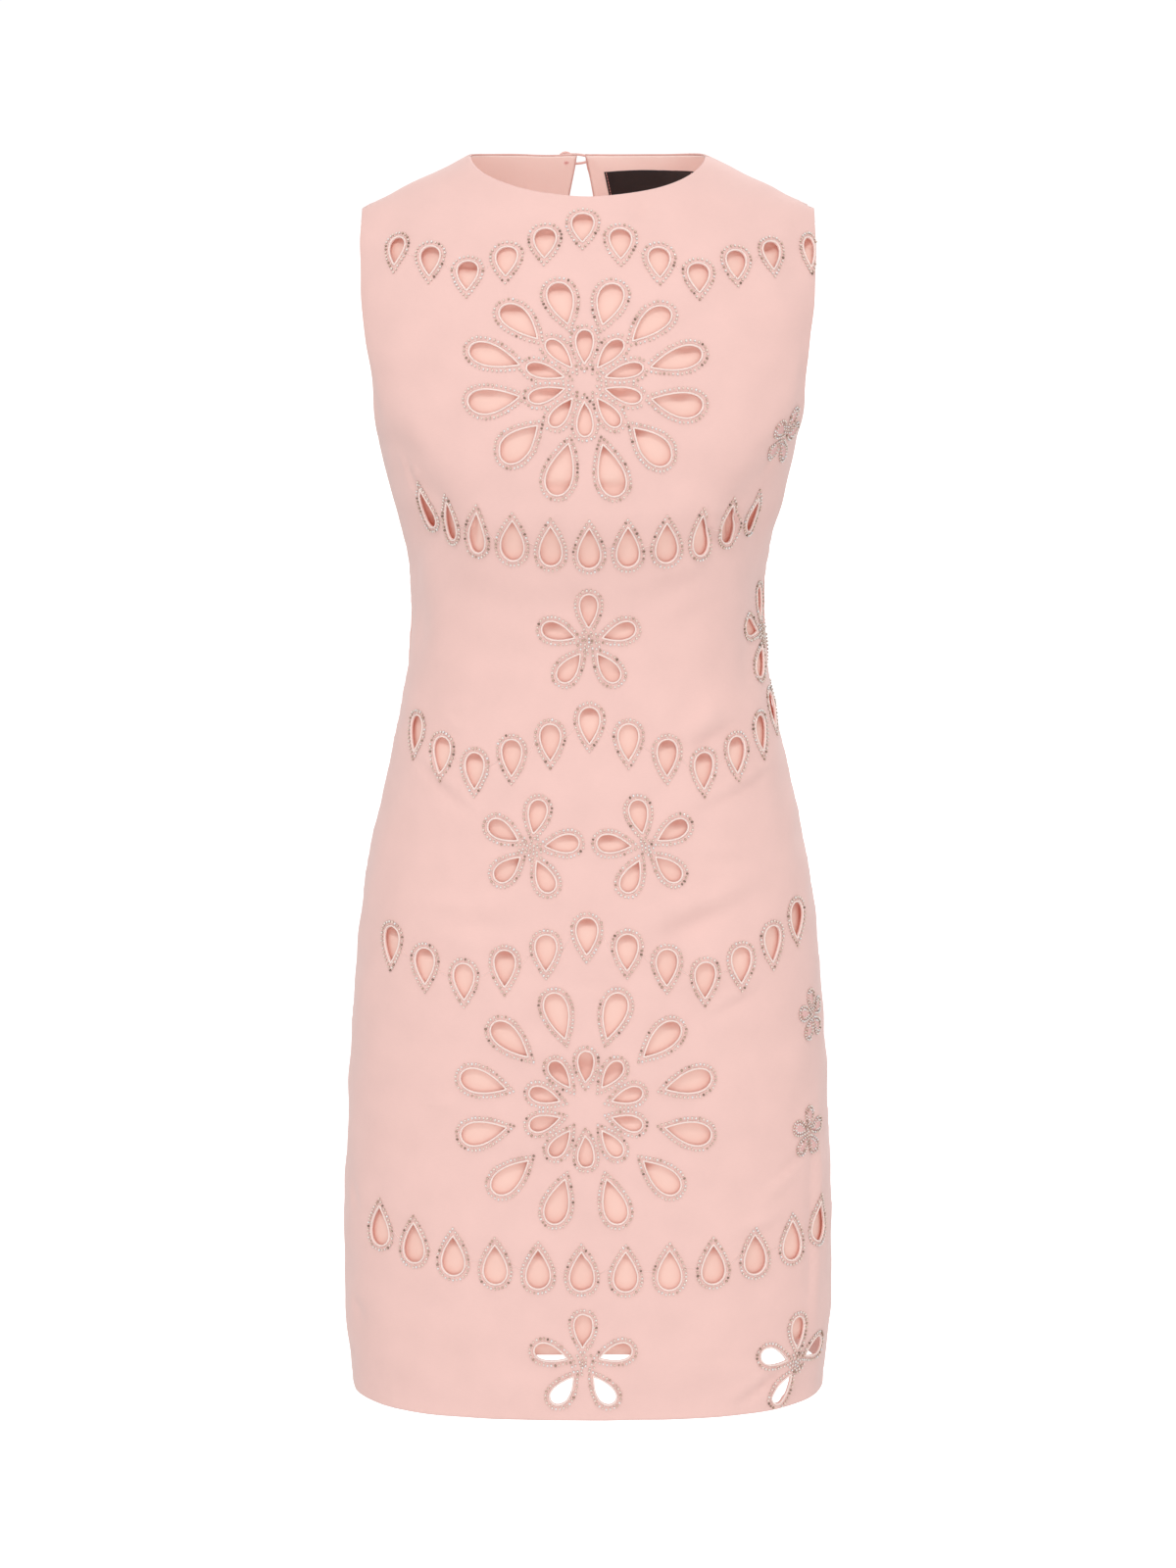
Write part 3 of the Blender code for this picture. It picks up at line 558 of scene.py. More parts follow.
def relief(rows, across, along):
    """How far a table of folds raises flat points."""
    total = np.zeros_like(across)
    for fold in rows:
        turn = math.radians(fold.turn)
        dx, dz = across - fold.across, along - fold.along
        down_its_length = (dx * math.sin(turn) + dz * math.cos(turn)) / (fold.length / 2)
        over_its_width = (dx * math.cos(turn) - dz * math.sin(turn)) / fold.width
        fade = (1 - down_its_length**2).clip(0) ** 1.5
        total += FOLD_DEPTH * fold.height * fade * np.exp(-(over_its_width**2))
    return total


def folds(side, across, along):
    """How far the cloth stands out of the figure's surface at flat points."""
    total = relief(FOLDS[side], across, along)
    for ripple in RIPPLES:
        total += RIPPLE * np.sin(ripple.across * across + ripple.along * along + ripple.shift)
    from_seam = half_round(side, along) - np.abs(across)
    pucker = np.sin(along * math.tau / SEAM_PUCKER_LENGTH + 1.3 * np.sin(along * 61))
    total += SEAM_PUCKER * pucker * np.exp(-((from_seam / SEAM_PUCKER_REACH) ** 2)) * (along < CHEST_LINE)
    hem_line = along - HEM - HEM_DEPTH
    total -= HEM_GROOVE * np.exp(-((hem_line / HEM_GROOVE_REACH) ** 2))
    wave = np.sin(across * math.tau / HEM_PUCKER_LENGTH + 1.1 * np.sin(across * 47))
    return total + HEM_PUCKER * wave * np.exp(-((hem_line / HEM_PUCKER_REACH) ** 2))


PINCH_TALL = 1.3
FROM_SEAM_PLANE = 0.00005
Pinch = namedtuple("Pinch", "across along reach share lean flatten drop", defaults=(0.0, 0.0))
PINCHES = {
    "front": [
        Pinch(-0.1317, -0.2465, 0.0150, 0.50, -0.30),
        Pinch(-0.1056, -0.2534, 0.0160, 0.68, -0.10),
        Pinch(-0.0790, -0.2590, 0.0150, 0.35, 0.00),
        Pinch(0.0829, -0.2616, 0.0150, 0.15, 0.05),
        Pinch(0.1104, -0.2566, 0.0160, 0.08, 0.12),
        Pinch(0.1440, -0.2505, 0.0180, 0.50, 0.20, 0.20, -0.0035),
    ],
    "back": [],
}


def squeezed(side, across, along):
    """Flat points' across and along, where the cloth is squeezed and drawn down at a few petals."""
    moved, sunk = across.copy(), along.copy()
    for pinch in PINCHES[side]:
        dx, dz = across - pinch.across, along - pinch.along
        nearness = np.exp(-((dx / pinch.reach) ** 2) - (dz / (PINCH_TALL * pinch.reach)) ** 2)
        moved += nearness * (pinch.lean * dz - pinch.share * dx)
        sunk += nearness * (pinch.drop - pinch.flatten * dz)
    return moved, sunk


def placed(side, across, along, out=0.0, folded=1.0):
    """Where flat points come to lie, moved outwards by out. No point crosses the plane of the seams."""
    across, along = np.atleast_1d(across).astype(float), np.atleast_1d(along).astype(float)
    if folded:
        across, along = squeezed(side, across, along)
    lift = out + folded * folds(side, across, along)
    points = on_figure(side, across, along) + outward(side, across, along) * np.reshape(lift, (-1, 1))
    points[:, 1] = FACING[side] * np.maximum(FACING[side] * points[:, 1], FROM_SEAM_PLANE)
    return points


print("folds:", {side: len(FOLDS[side]) for side in SIDES})

# %% [markdown]
# ## The pattern: edges and petals
# The edges of a panel are drawn once, for both panels and both linings: neck, shoulder, armhole, side seam
# and hem, and the keyhole in the back. The cutwork is five rows of drops, two wheels and six flowers, with
# one petal more beside the front's armhole.

# %% Edges of a panel
def neck_height(side, x):
    share = np.clip(np.abs(x) / NECK_HALF, 0, 1)
    if side == "front":
        return -FRONT_NECK_DROP * (1 - share**NECK_POWER) ** (1 / NECK_POWER)
    return -BACK_NECK_DROP * (1 - share**2)


def neck_edge(side, steps=30):
    """From the side neck point at +X to the centre line."""
    x = NECK_HALF * np.cos(np.linspace(0, QUARTER, steps + 1)).clip(0)
    return flat_at(side, x, neck_height(side, x))


def shoulder_edge(side, steps=16):
    """From the shoulder tip to just before the side neck point."""
    x = np.linspace(SHOULDER_HALF, NECK_HALF, steps + 1)[:-1]
    return flat_at(side, x, shoulder_height(x))


def armhole_edge(side, steps=44):
    """From the underarm to just before the shoulder tip."""
    share = (1 - np.cos(np.linspace(0, math.pi, steps + 1)[:-1])) / 2
    heights = CHEST_LINE + share * (-SHOULDER_DROP - CHEST_LINE)
    return flat(side, armhole_angle(heights), heights)


def side_edge(side, hem, step):
    """From the hem up to just before the underarm."""
    heights = np.linspace(hem, CHEST_LINE, round((CHEST_LINE - hem) / step) + 1)[:-1]
    return flat(side, np.full(len(heights), QUARTER), heights)


def hem_edge(side, hem, step):
    """Half of the hem, from the centre line to just before the side seam."""
    half = float(half_round(side, hem)[0])
    across = np.linspace(0, half, round(half / step) + 1)[:-1]
    return np.column_stack([across, np.full(len(across), hem)])


def keyhole_edge(facing, steps=26):
    """One edge of the keyhole, from the neck edge down to its lowest point. facing is its side of X."""
    x, top = flat_at("back", KEYHOLE_CENTRE, neck_height("back", KEYHOLE_CENTRE))[0]
    down = np.array([stage.down for stage in KEYHOLE])
    half = np.array([stage.half_width for stage in KEYHOLE])
    # Points close up towards the round lower end, where the width falls away fast.
    deep = down[-1] * np.sin(np.linspace(0, QUARTER, steps + 1))
    wide = np.interp(deep, down, half)
    for _ in range(2):
        wide[1:-1] = (wide[:-2] + 2 * wide[1:-1] + wide[2:]) / 4
    return np.column_stack([x + facing * wide, top - deep])


def panel_outline(side, hem=HEM, step=0.0045):
    """The whole cut edge: one closed loop of flat points that starts at the middle of the hem."""
    half = np.vstack([hem_edge(side, hem, step), side_edge(side, hem, step), armhole_edge(side)])
    half = np.vstack([half, shoulder_edge(side), neck_edge(side)])
    mirrored = half[-2:0:-1] * (-1, 1)
    if side == "front":
        return np.vstack([half, mirrored])
    right, left = keyhole_edge(1), keyhole_edge(-1)
    half = half[(half[:, 1] < CHEST_LINE) | (half[:, 0] > right[0, 0] + 0.002)]
    mirrored = mirrored[(mirrored[:, 1] < CHEST_LINE) | (mirrored[:, 0] < left[0, 0] - 0.002)]
    return np.vstack([half, right, left[-2::-1], mirrored])


OUTLINES = {side: panel_outline(side) for side in SIDES}
print("points on the edges:", {side: len(OUTLINES[side]) for side in SIDES})

# %% [markdown]
# A petal is a drop with a point at one end. Its sides follow one formula, so the same drop, made a little
# larger all round and pushed towards its point, gives the path of the cord and of the beads.

# %% Petals of the cutwork
Petal = namedtuple("Petal", "across along length width turn")
Row = namedtuple("Row", "centre height spacing lean spread tilt left right rises length width turn")
UP, DOWN = 0, 180
NECK_ZIGZAG = [0.0, -0.0115, -0.0245, -0.035, -0.0245, -0.0175]
ZIGZAG = [0.0, -0.012, -0.0235, -0.034, -0.025, -0.013, 0.0]
FESTOON = [0.0, 0.001, 0.004, 0.008, 0.0135, 0.020]
HEM_FESTOON = [0.0, 0.0005, 0.002, 0.006, 0.0115, 0.0185, 0.027]
ROWS = [
    Row(-0.0032, -0.0410, 0.0225, 0, 6.5e-5, -3e-4, 5, 5, NECK_ZIGZAG, 0.0210, 0.0125, DOWN),
    Row(0.0008, -0.2685, 0.0270, 1e-4, 0, -4e-4, 5, 5, FESTOON, 0.0280, 0.0150, UP),
    Row(0.0010, -0.3955, 0.0276, 0, 0, 0, 5, 6, ZIGZAG, 0.0245, 0.0138, DOWN),
    Row(-0.0008, -0.5445, 0.0288, -2e-4, 0, 2e-4, 5, 6, ZIGZAG, 0.0250, 0.0145, DOWN),
    Row(-0.0045, -0.7885, 0.0313, 1e-4, 0, -1e-3, 5, 6, HEM_FESTOON, 0.0280, 0.0165, UP),
]
Ring = namedtuple("Ring", "centre height across up taper lift tilt count start length width")
WHEELS = [
    [
        Ring(-0.0016, -0.1552, 0.0588, 0.0600, 0.11, 0.0044, -0.020, 12, 15, 0.0325, 0.0158),
        Ring(-0.0020, -0.1528, 0.0250, 0.0252, 0.00, 0.0000, 0.000, 10, 0, 0.0225, 0.0092),
    ],
    [
        Ring(-0.0015, -0.6695, 0.0760, 0.0700, 0.00, 0.0000, 0.000, 12, 15, 0.0330, 0.0160),
        Ring(-0.0015, -0.6695, 0.0310, 0.0310, 0.00, 0.0000, 0.000, 10, 0, 0.0215, 0.0105),
    ],
]
Flower = namedtuple("Flower", "centre height radius length width turn")
FLOWER_PETALS = 5
FLOWERS = [
    Flower(0.0005, -0.3365, 0.0225, 0.0230, 0.0118, 0),
    Flower(-0.0405, -0.4820, 0.0225, 0.0230, 0.0122, 11),
    Flower(0.0405, -0.4820, 0.0225, 0.0230, 0.0122, -11),
    Flower(-0.0035, -0.8570, 0.0245, 0.0235, 0.0122, 0),
    Flower(0.1690, -0.3420, 0.0225, 0.0230, 0.0118, 0),
    Flower(0.1600, -0.8675, 0.0225, 0.0230, 0.0118, 2),
]
PETAL_FULLNESS = 0.77
POINT_REACH = 1.7
EDGE_CLEARANCE = 0.004
# One petal of the front stands by itself beside the armhole.
ARMHOLE_PETAL = Petal(0.1543, -0.0600, 0.0210, 0.0125, DOWN)


def petal_loop(petal, out=0.0, steps=40):
    """A petal's edge as a loop of flat points from its point round, grown by out on every side."""
    way = np.arange(steps) * math.tau / steps
    length = petal.length + (1 + POINT_REACH) * out
    width = petal.width + 2 * out
    side = width / 2 * np.sin(way) * np.sin(way / 2) / PETAL_FULLNESS
    up = length / 2 * np.cos(way) + (POINT_REACH - 1) / 2 * out
    turn = math.radians(petal.turn)
    across = petal.across + side * math.cos(turn) + up * math.sin(turn)
    along = petal.along - side * math.sin(turn) + up * math.cos(turn)
    return np.column_stack([across, along])


def row_petals(row):
    """The petals of a row, each with its place k from the middle one."""
    made = {}
    for k in range(-row.left, row.right + 1):
        across = row.centre + row.spacing * k + row.lean * k**2 + row.spread * k**3
        along = row.height + row.rises[abs(k)] + row.tilt * k
        made[k] = Petal(across, along, row.length, row.width, row.turn)
    return made


def ring_petals(ring):
    """Petals round an oval, each with its point towards the middle. It may narrow, lift and lean."""
    made = []
    for k in range(ring.count):
        angle = math.radians(ring.start + 360 / ring.count * k)
        growth = 1 - ring.taper * math.cos(angle)
        x = ring.centre + ring.across * math.sin(angle) * growth
        z = ring.height + ring.up * math.cos(angle) + ring.lift * math.sin(angle) ** 2
        z += ring.tilt * (x - ring.centre)
        inwards = math.degrees(math.atan2(ring.centre - x, ring.height - z))
        made.append(Petal(x, z, ring.length * growth, ring.width * growth, inwards))
    return made


def flower_petals(f):
    """A flower is an even ring of five petals."""
    round_it = (f.centre, f.height, f.radius, f.radius, 0.0, 0.0, 0.0)
    return ring_petals(Ring(*round_it, FLOWER_PETALS, f.turn, f.length, f.width))


def inside(points, loop):
    """Which flat points lie inside a loop."""
    x, z = points[:, :1], points[:, 1:]
    ax, az = loop.T
    bx, bz = np.roll(loop, -1, axis=0).T
    crosses = (az > z) != (bz > z)
    at = ax + (z - az) / np.where(az == bz, 1, bz - az) * (bx - ax)
    return (crosses & (x < at)).sum(axis=1) % 2 == 1


def distance(points, loop):
    """Shortest distance of each flat point from a closed loop."""
    run = np.roll(loop, -1, axis=0) - loop
    found = []
    for k in range(0, len(points), BATCH):
        away = points[k : k + BATCH, None] - loop
        share = ((away * run).sum(-1) / np.maximum((run**2).sum(-1), 1e-14)).clip(0, 1)
        found.append(np.linalg.norm(away - share[..., None] * run, axis=-1).min(axis=1))
    return np.concatenate(found) if found else np.zeros(0)


def cutwork(side):
    """Every petal that has cloth all round it. The back leaves one more out, for the keyhole."""
    found = []
    for number, row in enumerate(ROWS):
        found += [p for k, p in row_petals(row).items() if (side, number, k) != ("back", 0, 0)]
    for ring in sum(WHEELS, []):
        found += ring_petals(ring)
    for flower in FLOWERS:
        found += flower_petals(flower)
    outline = OUTLINES[side]
    loops = [petal_loop(petal, steps=16) for petal in found]
    held = [inside(loop, outline).all() for loop in loops]
    clear = [distance(loop, outline).min() >= EDGE_CLEARANCE for loop in loops]
    return [petal for petal, *fits in zip(found, held, clear) if all(fits)]


PETALS = {side: cutwork(side) for side in SIDES}
PETALS["front"].append(ARMHOLE_PETAL)
print("petals cut out:", {side: len(PETALS[side]) for side in SIDES})

# %% [markdown]
# ## Cloth from the pattern
# A panel is first a flat sheet: edge, petals and a fine even spread of points between them, joined into well
# shaped triangles. Blender's own fill would give long slivers that shade badly on a curved form, so the
# constrained triangulation that Blender also offers makes the sheet. Then every point is placed on the
# figure, and Solidify gives the cloth its thickness towards the inside. The flat point stays with the cloth
# as its UV map, so the weave follows the grain of the cut.

# %% Cutting and sewing a sheet
LONGEST_PETAL = 0.045
DENSE_ROOM = 0.0030
DENSE_STEP = 0.0026
UV_CORNER = (0.25, 0.95)


def near(points, petal):
    return np.hypot(points[:, 0] - petal.across, points[:, 1] - petal.along) < LONGEST_PETAL


def out_of_petals(points, petals, margin):
    """The points that lie on cloth and stand clear of the petals' edges."""
    keep = np.ones(len(points), bool)
    for petal in petals:
        close = np.flatnonzero(near(points, petal) & keep)
        loop = petal_loop(petal, margin)
        keep[close[inside(points[close], loop)]] = False
    return points[keep]


def band(outline, margin, every=1):
    """Flat points in a line inside the outline, margin away from it."""
    run = np.roll(outline, -1, axis=0) - np.roll(outline, 1, axis=0)
    run /= np.linalg.norm(run, axis=1)[:, None]
    points = outline + np.column_stack([-run[:, 1], run[:, 0]]) * margin
    points = points[::every]
    return points[distance(points, outline) > margin * 0.9]


def spread(outline, step):
    """Flat points in staggered rows all over the outline's box."""
    low, high = outline.min(axis=0), outline.max(axis=0)
    rows = np.arange(low[1], high[1], step * math.sqrt(3) / 2)
    points = []
    for k, along in enumerate(rows):
        across = np.arange(low[0] + step / 2 * (k % 2), high[0], step)
        points.append(np.column_stack([across, np.full(len(across), along)]))
    points = np.vstack(points)
    batches = [points[k : k + BATCH] for k in range(0, len(points), BATCH)]
    return np.vstack([batch[inside(batch, outline)] for batch in batches])


def cut_sheet(outline, petals, step, bands=(), petal_steps=36, dense=()):
    """A flat sheet inside the outline and without the petals: its points and its triangles.

    Points lie closer together behind the dense petals.
    """
    cuts = [petal_loop(petal, steps=petal_steps) for petal in petals]
    extra = [band(outline, margin) for margin in bands]
    widest = max(bands, default=0)
    filler = spread(outline, step)
    filler = filler[distance(filler, outline) > widest + step * 0.45]
    points = out_of_petals(np.vstack(extra + [filler]), petals, step * 0.4)
    for petal in dense:
        loop = petal_loop(petal, DENSE_ROOM)
        points = points[~inside(points, loop) | ~near(points, petal)]
        close = spread(loop, DENSE_STEP)
        close = close[inside(close, outline)]
        close = close[distance(close, outline) > widest + DENSE_STEP]
        points = np.vstack([points, close])
    flat_points, edges = [], []
    for loop in [outline, *cuts]:
        first, count = len(flat_points), len(loop)
        flat_points += [Vector(point) for point in loop]
        edges += [(first + k, first + (k + 1) % count) for k in range(count)]
    flat_points += [Vector(point) for point in points]
    inside_only, tolerance = 1, 1e-7
    verts, _, faces, *_ = delaunay_2d_cdt(flat_points, edges, [], inside_only, tolerance)
    verts = np.array(verts)
    middles = np.array([verts[face].mean(axis=0) for face in faces])
    keep = np.ones(len(faces), bool)
    for petal, cut in zip(petals, cuts):
        close = np.flatnonzero(near(middles, petal))
        keep[close[inside(middles[close], cut)]] = False
    return verts, [face for face, kept in zip(faces, keep) if kept]


def flat_mesh(name, side, sheets):
    """One mesh of flat sheets, with the flat points as its UV map and its faces towards the outside."""
    bm = bmesh.new()
    for verts, faces in sheets:
        corners = [bm.verts.new((across, along, 0)) for across, along in verts]
        for face in faces:
            bm.faces.new([corners[i] for i in face])
    bmesh.ops.delete(bm, geom=[v for v in bm.verts if not v.link_faces], context="VERTS")
    uv = bm.loops.layers.uv.new("cloth")
    for face in bm.faces:
        face.smooth = True
        for loop in face.loops:
            loop[uv].uv = loop.vert.co.xy + Vector(UV_CORNER)
    wrong = [face for face in bm.faces if face.normal.z < 0]
    bmesh.ops.reverse_faces(bm, faces=bm.faces[:] if side == "back" else wrong)
    mesh = bpy.data.meshes.new(name)
    bm.to_mesh(mesh)
    bm.free()
    return mesh


def flat_columns(mesh):
    co = np.zeros(len(mesh.vertices) * 3)
    mesh.vertices.foreach_get("co", co)
    return co.reshape(-1, 3)[:, 0], co.reshape(-1, 3)[:, 1]


def move_to(mesh, points):
    mesh.vertices.foreach_set("co", np.asarray(points, np.float32).ravel())
    mesh.update()


def thicken(obj, thickness):
    """Gives a sheet its thickness towards the inside."""
    solid = obj.modifiers.new("thickness", "SOLIDIFY")
    solid.thickness = thickness
    solid.offset = -1
    solid.use_even_offset = True
    return solid


# %% [markdown]
# ## Shared finishes
# Two effects are used by more than one material, so each is a node group: the plain weave of poplin, lining
# and label with its uneven dye, and the ribs of satin stitch. The weave reads the cloth's own UV map, in
# metres, so its threads have one width all over the flat pattern.

# %% Node groups for cloth
def new_group(name, inputs, outputs):
    """A shader node group with named inputs, each with its default, and named outputs."""
    group = bpy.data.node_groups.new(name, "ShaderNodeTree")
    for label, kind, value in inputs:
        socket = group.interface.new_socket(label, in_out="INPUT", socket_type=kind)
        socket.default_value = value
    for label, kind in outputs:
        group.interface.new_socket(label, in_out="OUTPUT", socket_type=kind)
    return group, group.nodes.new("NodeGroupInput"), group.nodes.new("NodeGroupOutput")


def math_node(tree, operation, first, second=None):
    """A Math node whose inputs are sockets or plain numbers."""
    node = tree.nodes.new("ShaderNodeMath")
    node.operation = operation
    for socket, value in zip(node.inputs, (first, second)):
        if isinstance(value, bpy.types.NodeSocket):
            tree.links.new(value, socket)
        elif value is not None:
            socket.default_value = value
    return node.outputs[0]


def noise(tree, vector, scale, detail=2.0):
    node = tree.nodes.new("ShaderNodeTexNoise")
    node.inputs["Scale"].default_value = scale
    node.inputs["Detail"].default_value = detail
    tree.links.new(vector, node.inputs["Vector"])
    return node.outputs["Fac"]


def shaded(tree, colour, amount):
    """A colour made darker or lighter by an amount round 1."""
    node = tree.nodes.new("ShaderNodeVectorMath")
    node.operation = "SCALE"
    tree.links.new(colour, node.inputs[0])
    tree.links.new(amount, node.inputs["Scale"])
    return node.outputs["Vector"]


def build_weave():
    """Plain weave: threads of one pitch over and under each other, with slubs and a mottled dye."""
    group, given, made = new_group(
        "plain_weave",
        [
            ("Dye", "NodeSocketColor", (0.8, 0.5, 0.45, 1)),
            ("Pitch", "NodeSocketFloat", 0.0005),
            ("Mottle", "NodeSocketFloat", 0.05),
            ("Softness", "NodeSocketFloat", 0.75),
        ],
        [("Color", "NodeSocketColor"), ("Roughness", "NodeSocketFloat"), ("Height", "NodeSocketFloat")],
    )
    uv = group.nodes.new("ShaderNodeUVMap")
    uv.uv_map = "cloth"
    split = group.nodes.new("ShaderNodeSeparateXYZ")
    group.links.new(uv.outputs["UV"], split.inputs[0])
    waves = []
    for axis in ("X", "Y"):
        turns = math_node(group, "DIVIDE", split.outputs[axis], given.outputs["Pitch"])
        waves.append(math_node(group, "SINE", math_node(group, "MULTIPLY", turns, math.pi)))
    threads = math_node(group, "MULTIPLY", *waves)
    stretched = group.nodes.new("ShaderNodeMapping")
    stretched.inputs["Scale"].default_value = (1, 7, 1)
    group.links.new(uv.outputs["UV"], stretched.inputs["Vector"])
    slubs = noise(group, stretched.outputs["Vector"], 260)
    dye = noise(group, uv.outputs["UV"], 34, 3)
    fine = noise(group, uv.outputs["UV"], 900)
    height = math_node(group, "ADD", math_node(group, "MULTIPLY", threads, 0.45), slubs)
    streaks = math_node(group, "MULTIPLY", slubs, 0.5)
    uneven = math_node(group, "SUBTRACT", math_node(group, "ADD", dye, streaks), 0.75)
    change = math_node(group, "MULTIPLY", uneven, given.outputs["Mottle"])
    amount = math_node(group, "ADD", change, 1.0)
    group.links.new(shaded(group, given.outputs["Dye"], amount), made.inputs["Color"])
    rough = math_node(group, "MULTIPLY", math_node(group, "SUBTRACT", fine, 0.5), 0.16)
    group.links.new(math_node(group, "ADD", rough, given.outputs["Softness"]), made.inputs["Roughness"])
    group.links.new(height, made.inputs["Height"])
    return group


def build_satin():
    """Satin stitch: smooth threads side by side across the cord or pad that they cover."""
    group, given, made = new_group(
        "satin_stitch",
        [
            ("Thread", "NodeSocketColor", (0.9, 0.8, 0.75, 1)),
            ("Count", "NodeSocketFloat", 150.0),
            ("Slant", "NodeSocketFloat", 1.0),
        ],
        [("Color", "NodeSocketColor"), ("Roughness", "NodeSocketFloat"), ("Height", "NodeSocketFloat")],
    )
    uv = group.nodes.new("ShaderNodeUVMap")
    uv.uv_map = "thread"
    split = group.nodes.new("ShaderNodeSeparateXYZ")
    group.links.new(uv.outputs["UV"], split.inputs[0])
    along = math_node(group, "MULTIPLY", split.outputs["Y"], given.outputs["Count"])
    slant = math_node(group, "MULTIPLY", split.outputs["X"], given.outputs["Slant"])
    phase = math_node(group, "MULTIPLY", math_node(group, "ADD", along, slant), math.pi)
    rib = math_node(group, "ABSOLUTE", math_node(group, "SINE", phase))
    place = group.nodes.new("ShaderNodeTexCoord")
    strands = noise(group, place.outputs["Object"], 420, 1)
    # Painted shade: the ribs are painted lighter than the grooves between the threads, and the strands differ
    # at random.
    tone = math_node(group, "ADD", math_node(group, "MULTIPLY", rib, 0.10), 0.86)
    tone = math_node(group, "ADD", tone, math_node(group, "MULTIPLY", strands, 0.12))
    group.links.new(shaded(group, given.outputs["Thread"], tone), made.inputs["Color"])
    rough = math_node(group, "ADD", math_node(group, "MULTIPLY", strands, 0.2), 0.30)
    group.links.new(rough, made.inputs["Roughness"])
    group.links.new(rib, made.inputs["Height"])
    return group


plain_weave = build_weave()
satin_stitch = build_satin()
print("groups:", plain_weave.name, satin_stitch.name)

# %% [markdown]
# ## Materials
# The outer cloth is a matte pale pink poplin. The lining is smoother, and its glow is painted light that
# keeps it warm and light where it shows in the cut petals and inside the neck. The cord is very pale satin
# thread, lifted a little by painted light. The beads are silver lined glass. Each catches a lamp or the dark,
# and a painted reflection of its own stands for that.

# %% Cloth and thread materials
def finish_from(group, name, values, bump, depth):
    """A material whose colour, roughness and bump come from a group, with the group's own values."""
    material, tree, shader = new_material(name)
    node = tree.nodes.new("ShaderNodeGroup")
    node.node_tree = group
    for label, value in values.items():
        node.inputs[label].default_value = value
    raised = tree.nodes.new("ShaderNodeBump")
    raised.inputs["Strength"].default_value = bump
    raised.inputs["Distance"].default_value = depth
    tree.links.new(node.outputs["Color"], shader.inputs["Base Color"])
    tree.links.new(node.outputs["Roughness"], shader.inputs["Roughness"])
    tree.links.new(node.outputs["Height"], raised.inputs["Height"])
    tree.links.new(raised.outputs["Normal"], shader.inputs["Normal"])
    return material, shader


POPLIN_PINK = (0.865, 0.570, 0.520, 1)
LINING_PEACH = (0.80, 0.59, 0.52, 1)
INNER_BACK = (0.86, 0.70, 0.65, 1)
CORD_WHITE = (0.98, 0.79, 0.73, 1)
PETAL_PINK = (0.88, 0.52, 0.49, 1)
THREAD_PINK = (0.80, 0.42, 0.40, 1)
LABEL_BLACK = (0.008, 0.014, 0.017, 1)
PAINTED_WARM_GLOW = (1, 0.20, 0.10, 1)

woven_poplin = {"Dye": POPLIN_PINK, "Pitch": 0.00045, "Mottle": 0.10, "Softness": 0.80}
poplin, poplin_shader = finish_from(plain_weave, "pink_poplin", woven_poplin, 0.35, 0.00012)
poplin_shader.inputs["Specular IOR Level"].default_value = 0.25
poplin_shader.inputs["Sheen Weight"].default_value = 0.30
poplin_shader.inputs["Sheen Roughness"].default_value = 0.5


def dye_lining(name, dye, painted_glow_colour, painted_glow):
    """A lining cloth. Its emission is painted light, a glow that warms and lightens the lining where it lies
    in shade.
    """
    woven = {"Dye": dye, "Pitch": 0.0003, "Mottle": 0.06, "Softness": 0.55}
    cloth, shader = finish_from(plain_weave, name, woven, 0.2, 0.00008)
    shader.inputs["Specular IOR Level"].default_value = 0.35
    shader.inputs["Emission Color"].default_value = painted_glow_colour
    shader.inputs["Emission Strength"].default_value = painted_glow
    return cloth


# Painted light: the front lining glows red, which warms its shade in the cut petals, and the back lining
# glows pale, which lightens it inside the neck.
lining_cloths = {
    "front": dye_lining("peach_lining", LINING_PEACH, PAINTED_WARM_GLOW, 0.13),
    "back": dye_lining("pale_lining", INNER_BACK, INNER_BACK, 0.19),
}

cord_thread = {"Thread": CORD_WHITE, "Count": 150.0, "Slant": 1.0}
cord_satin, cord_shader = finish_from(satin_stitch, "cord_satin", cord_thread, 0.5, 0.0002)
cord_shader.inputs["Specular IOR Level"].default_value = 0.5
# The cord's emission is painted light, which lifts the shade on the round sides of the cord.
cord_shader.inputs["Emission Color"].default_value = CORD_WHITE
cord_shader.inputs["Emission Strength"].default_value = 0.09
petal_thread = {"Thread": PETAL_PINK, "Count": 2400.0, "Slant": 250.0}
petal_satin, _ = finish_from(satin_stitch, "petal_satin", petal_thread, 0.5, 0.0002)
woven_label = {"Dye": LABEL_BLACK, "Pitch": 0.00035, "Mottle": 0.3, "Softness": 0.42}
label_satin, _ = finish_from(plain_weave, "label_satin", woven_label, 0.3, 0.0001)
thread_pink, _, thread_shader = new_material("sewing_thread")
thread_shader.inputs["Base Color"].default_value = THREAD_PINK
thread_shader.inputs["Roughness"].default_value = 0.5
print("cloth materials:", poplin.name, cord_satin.name, petal_satin.name, label_satin.name)
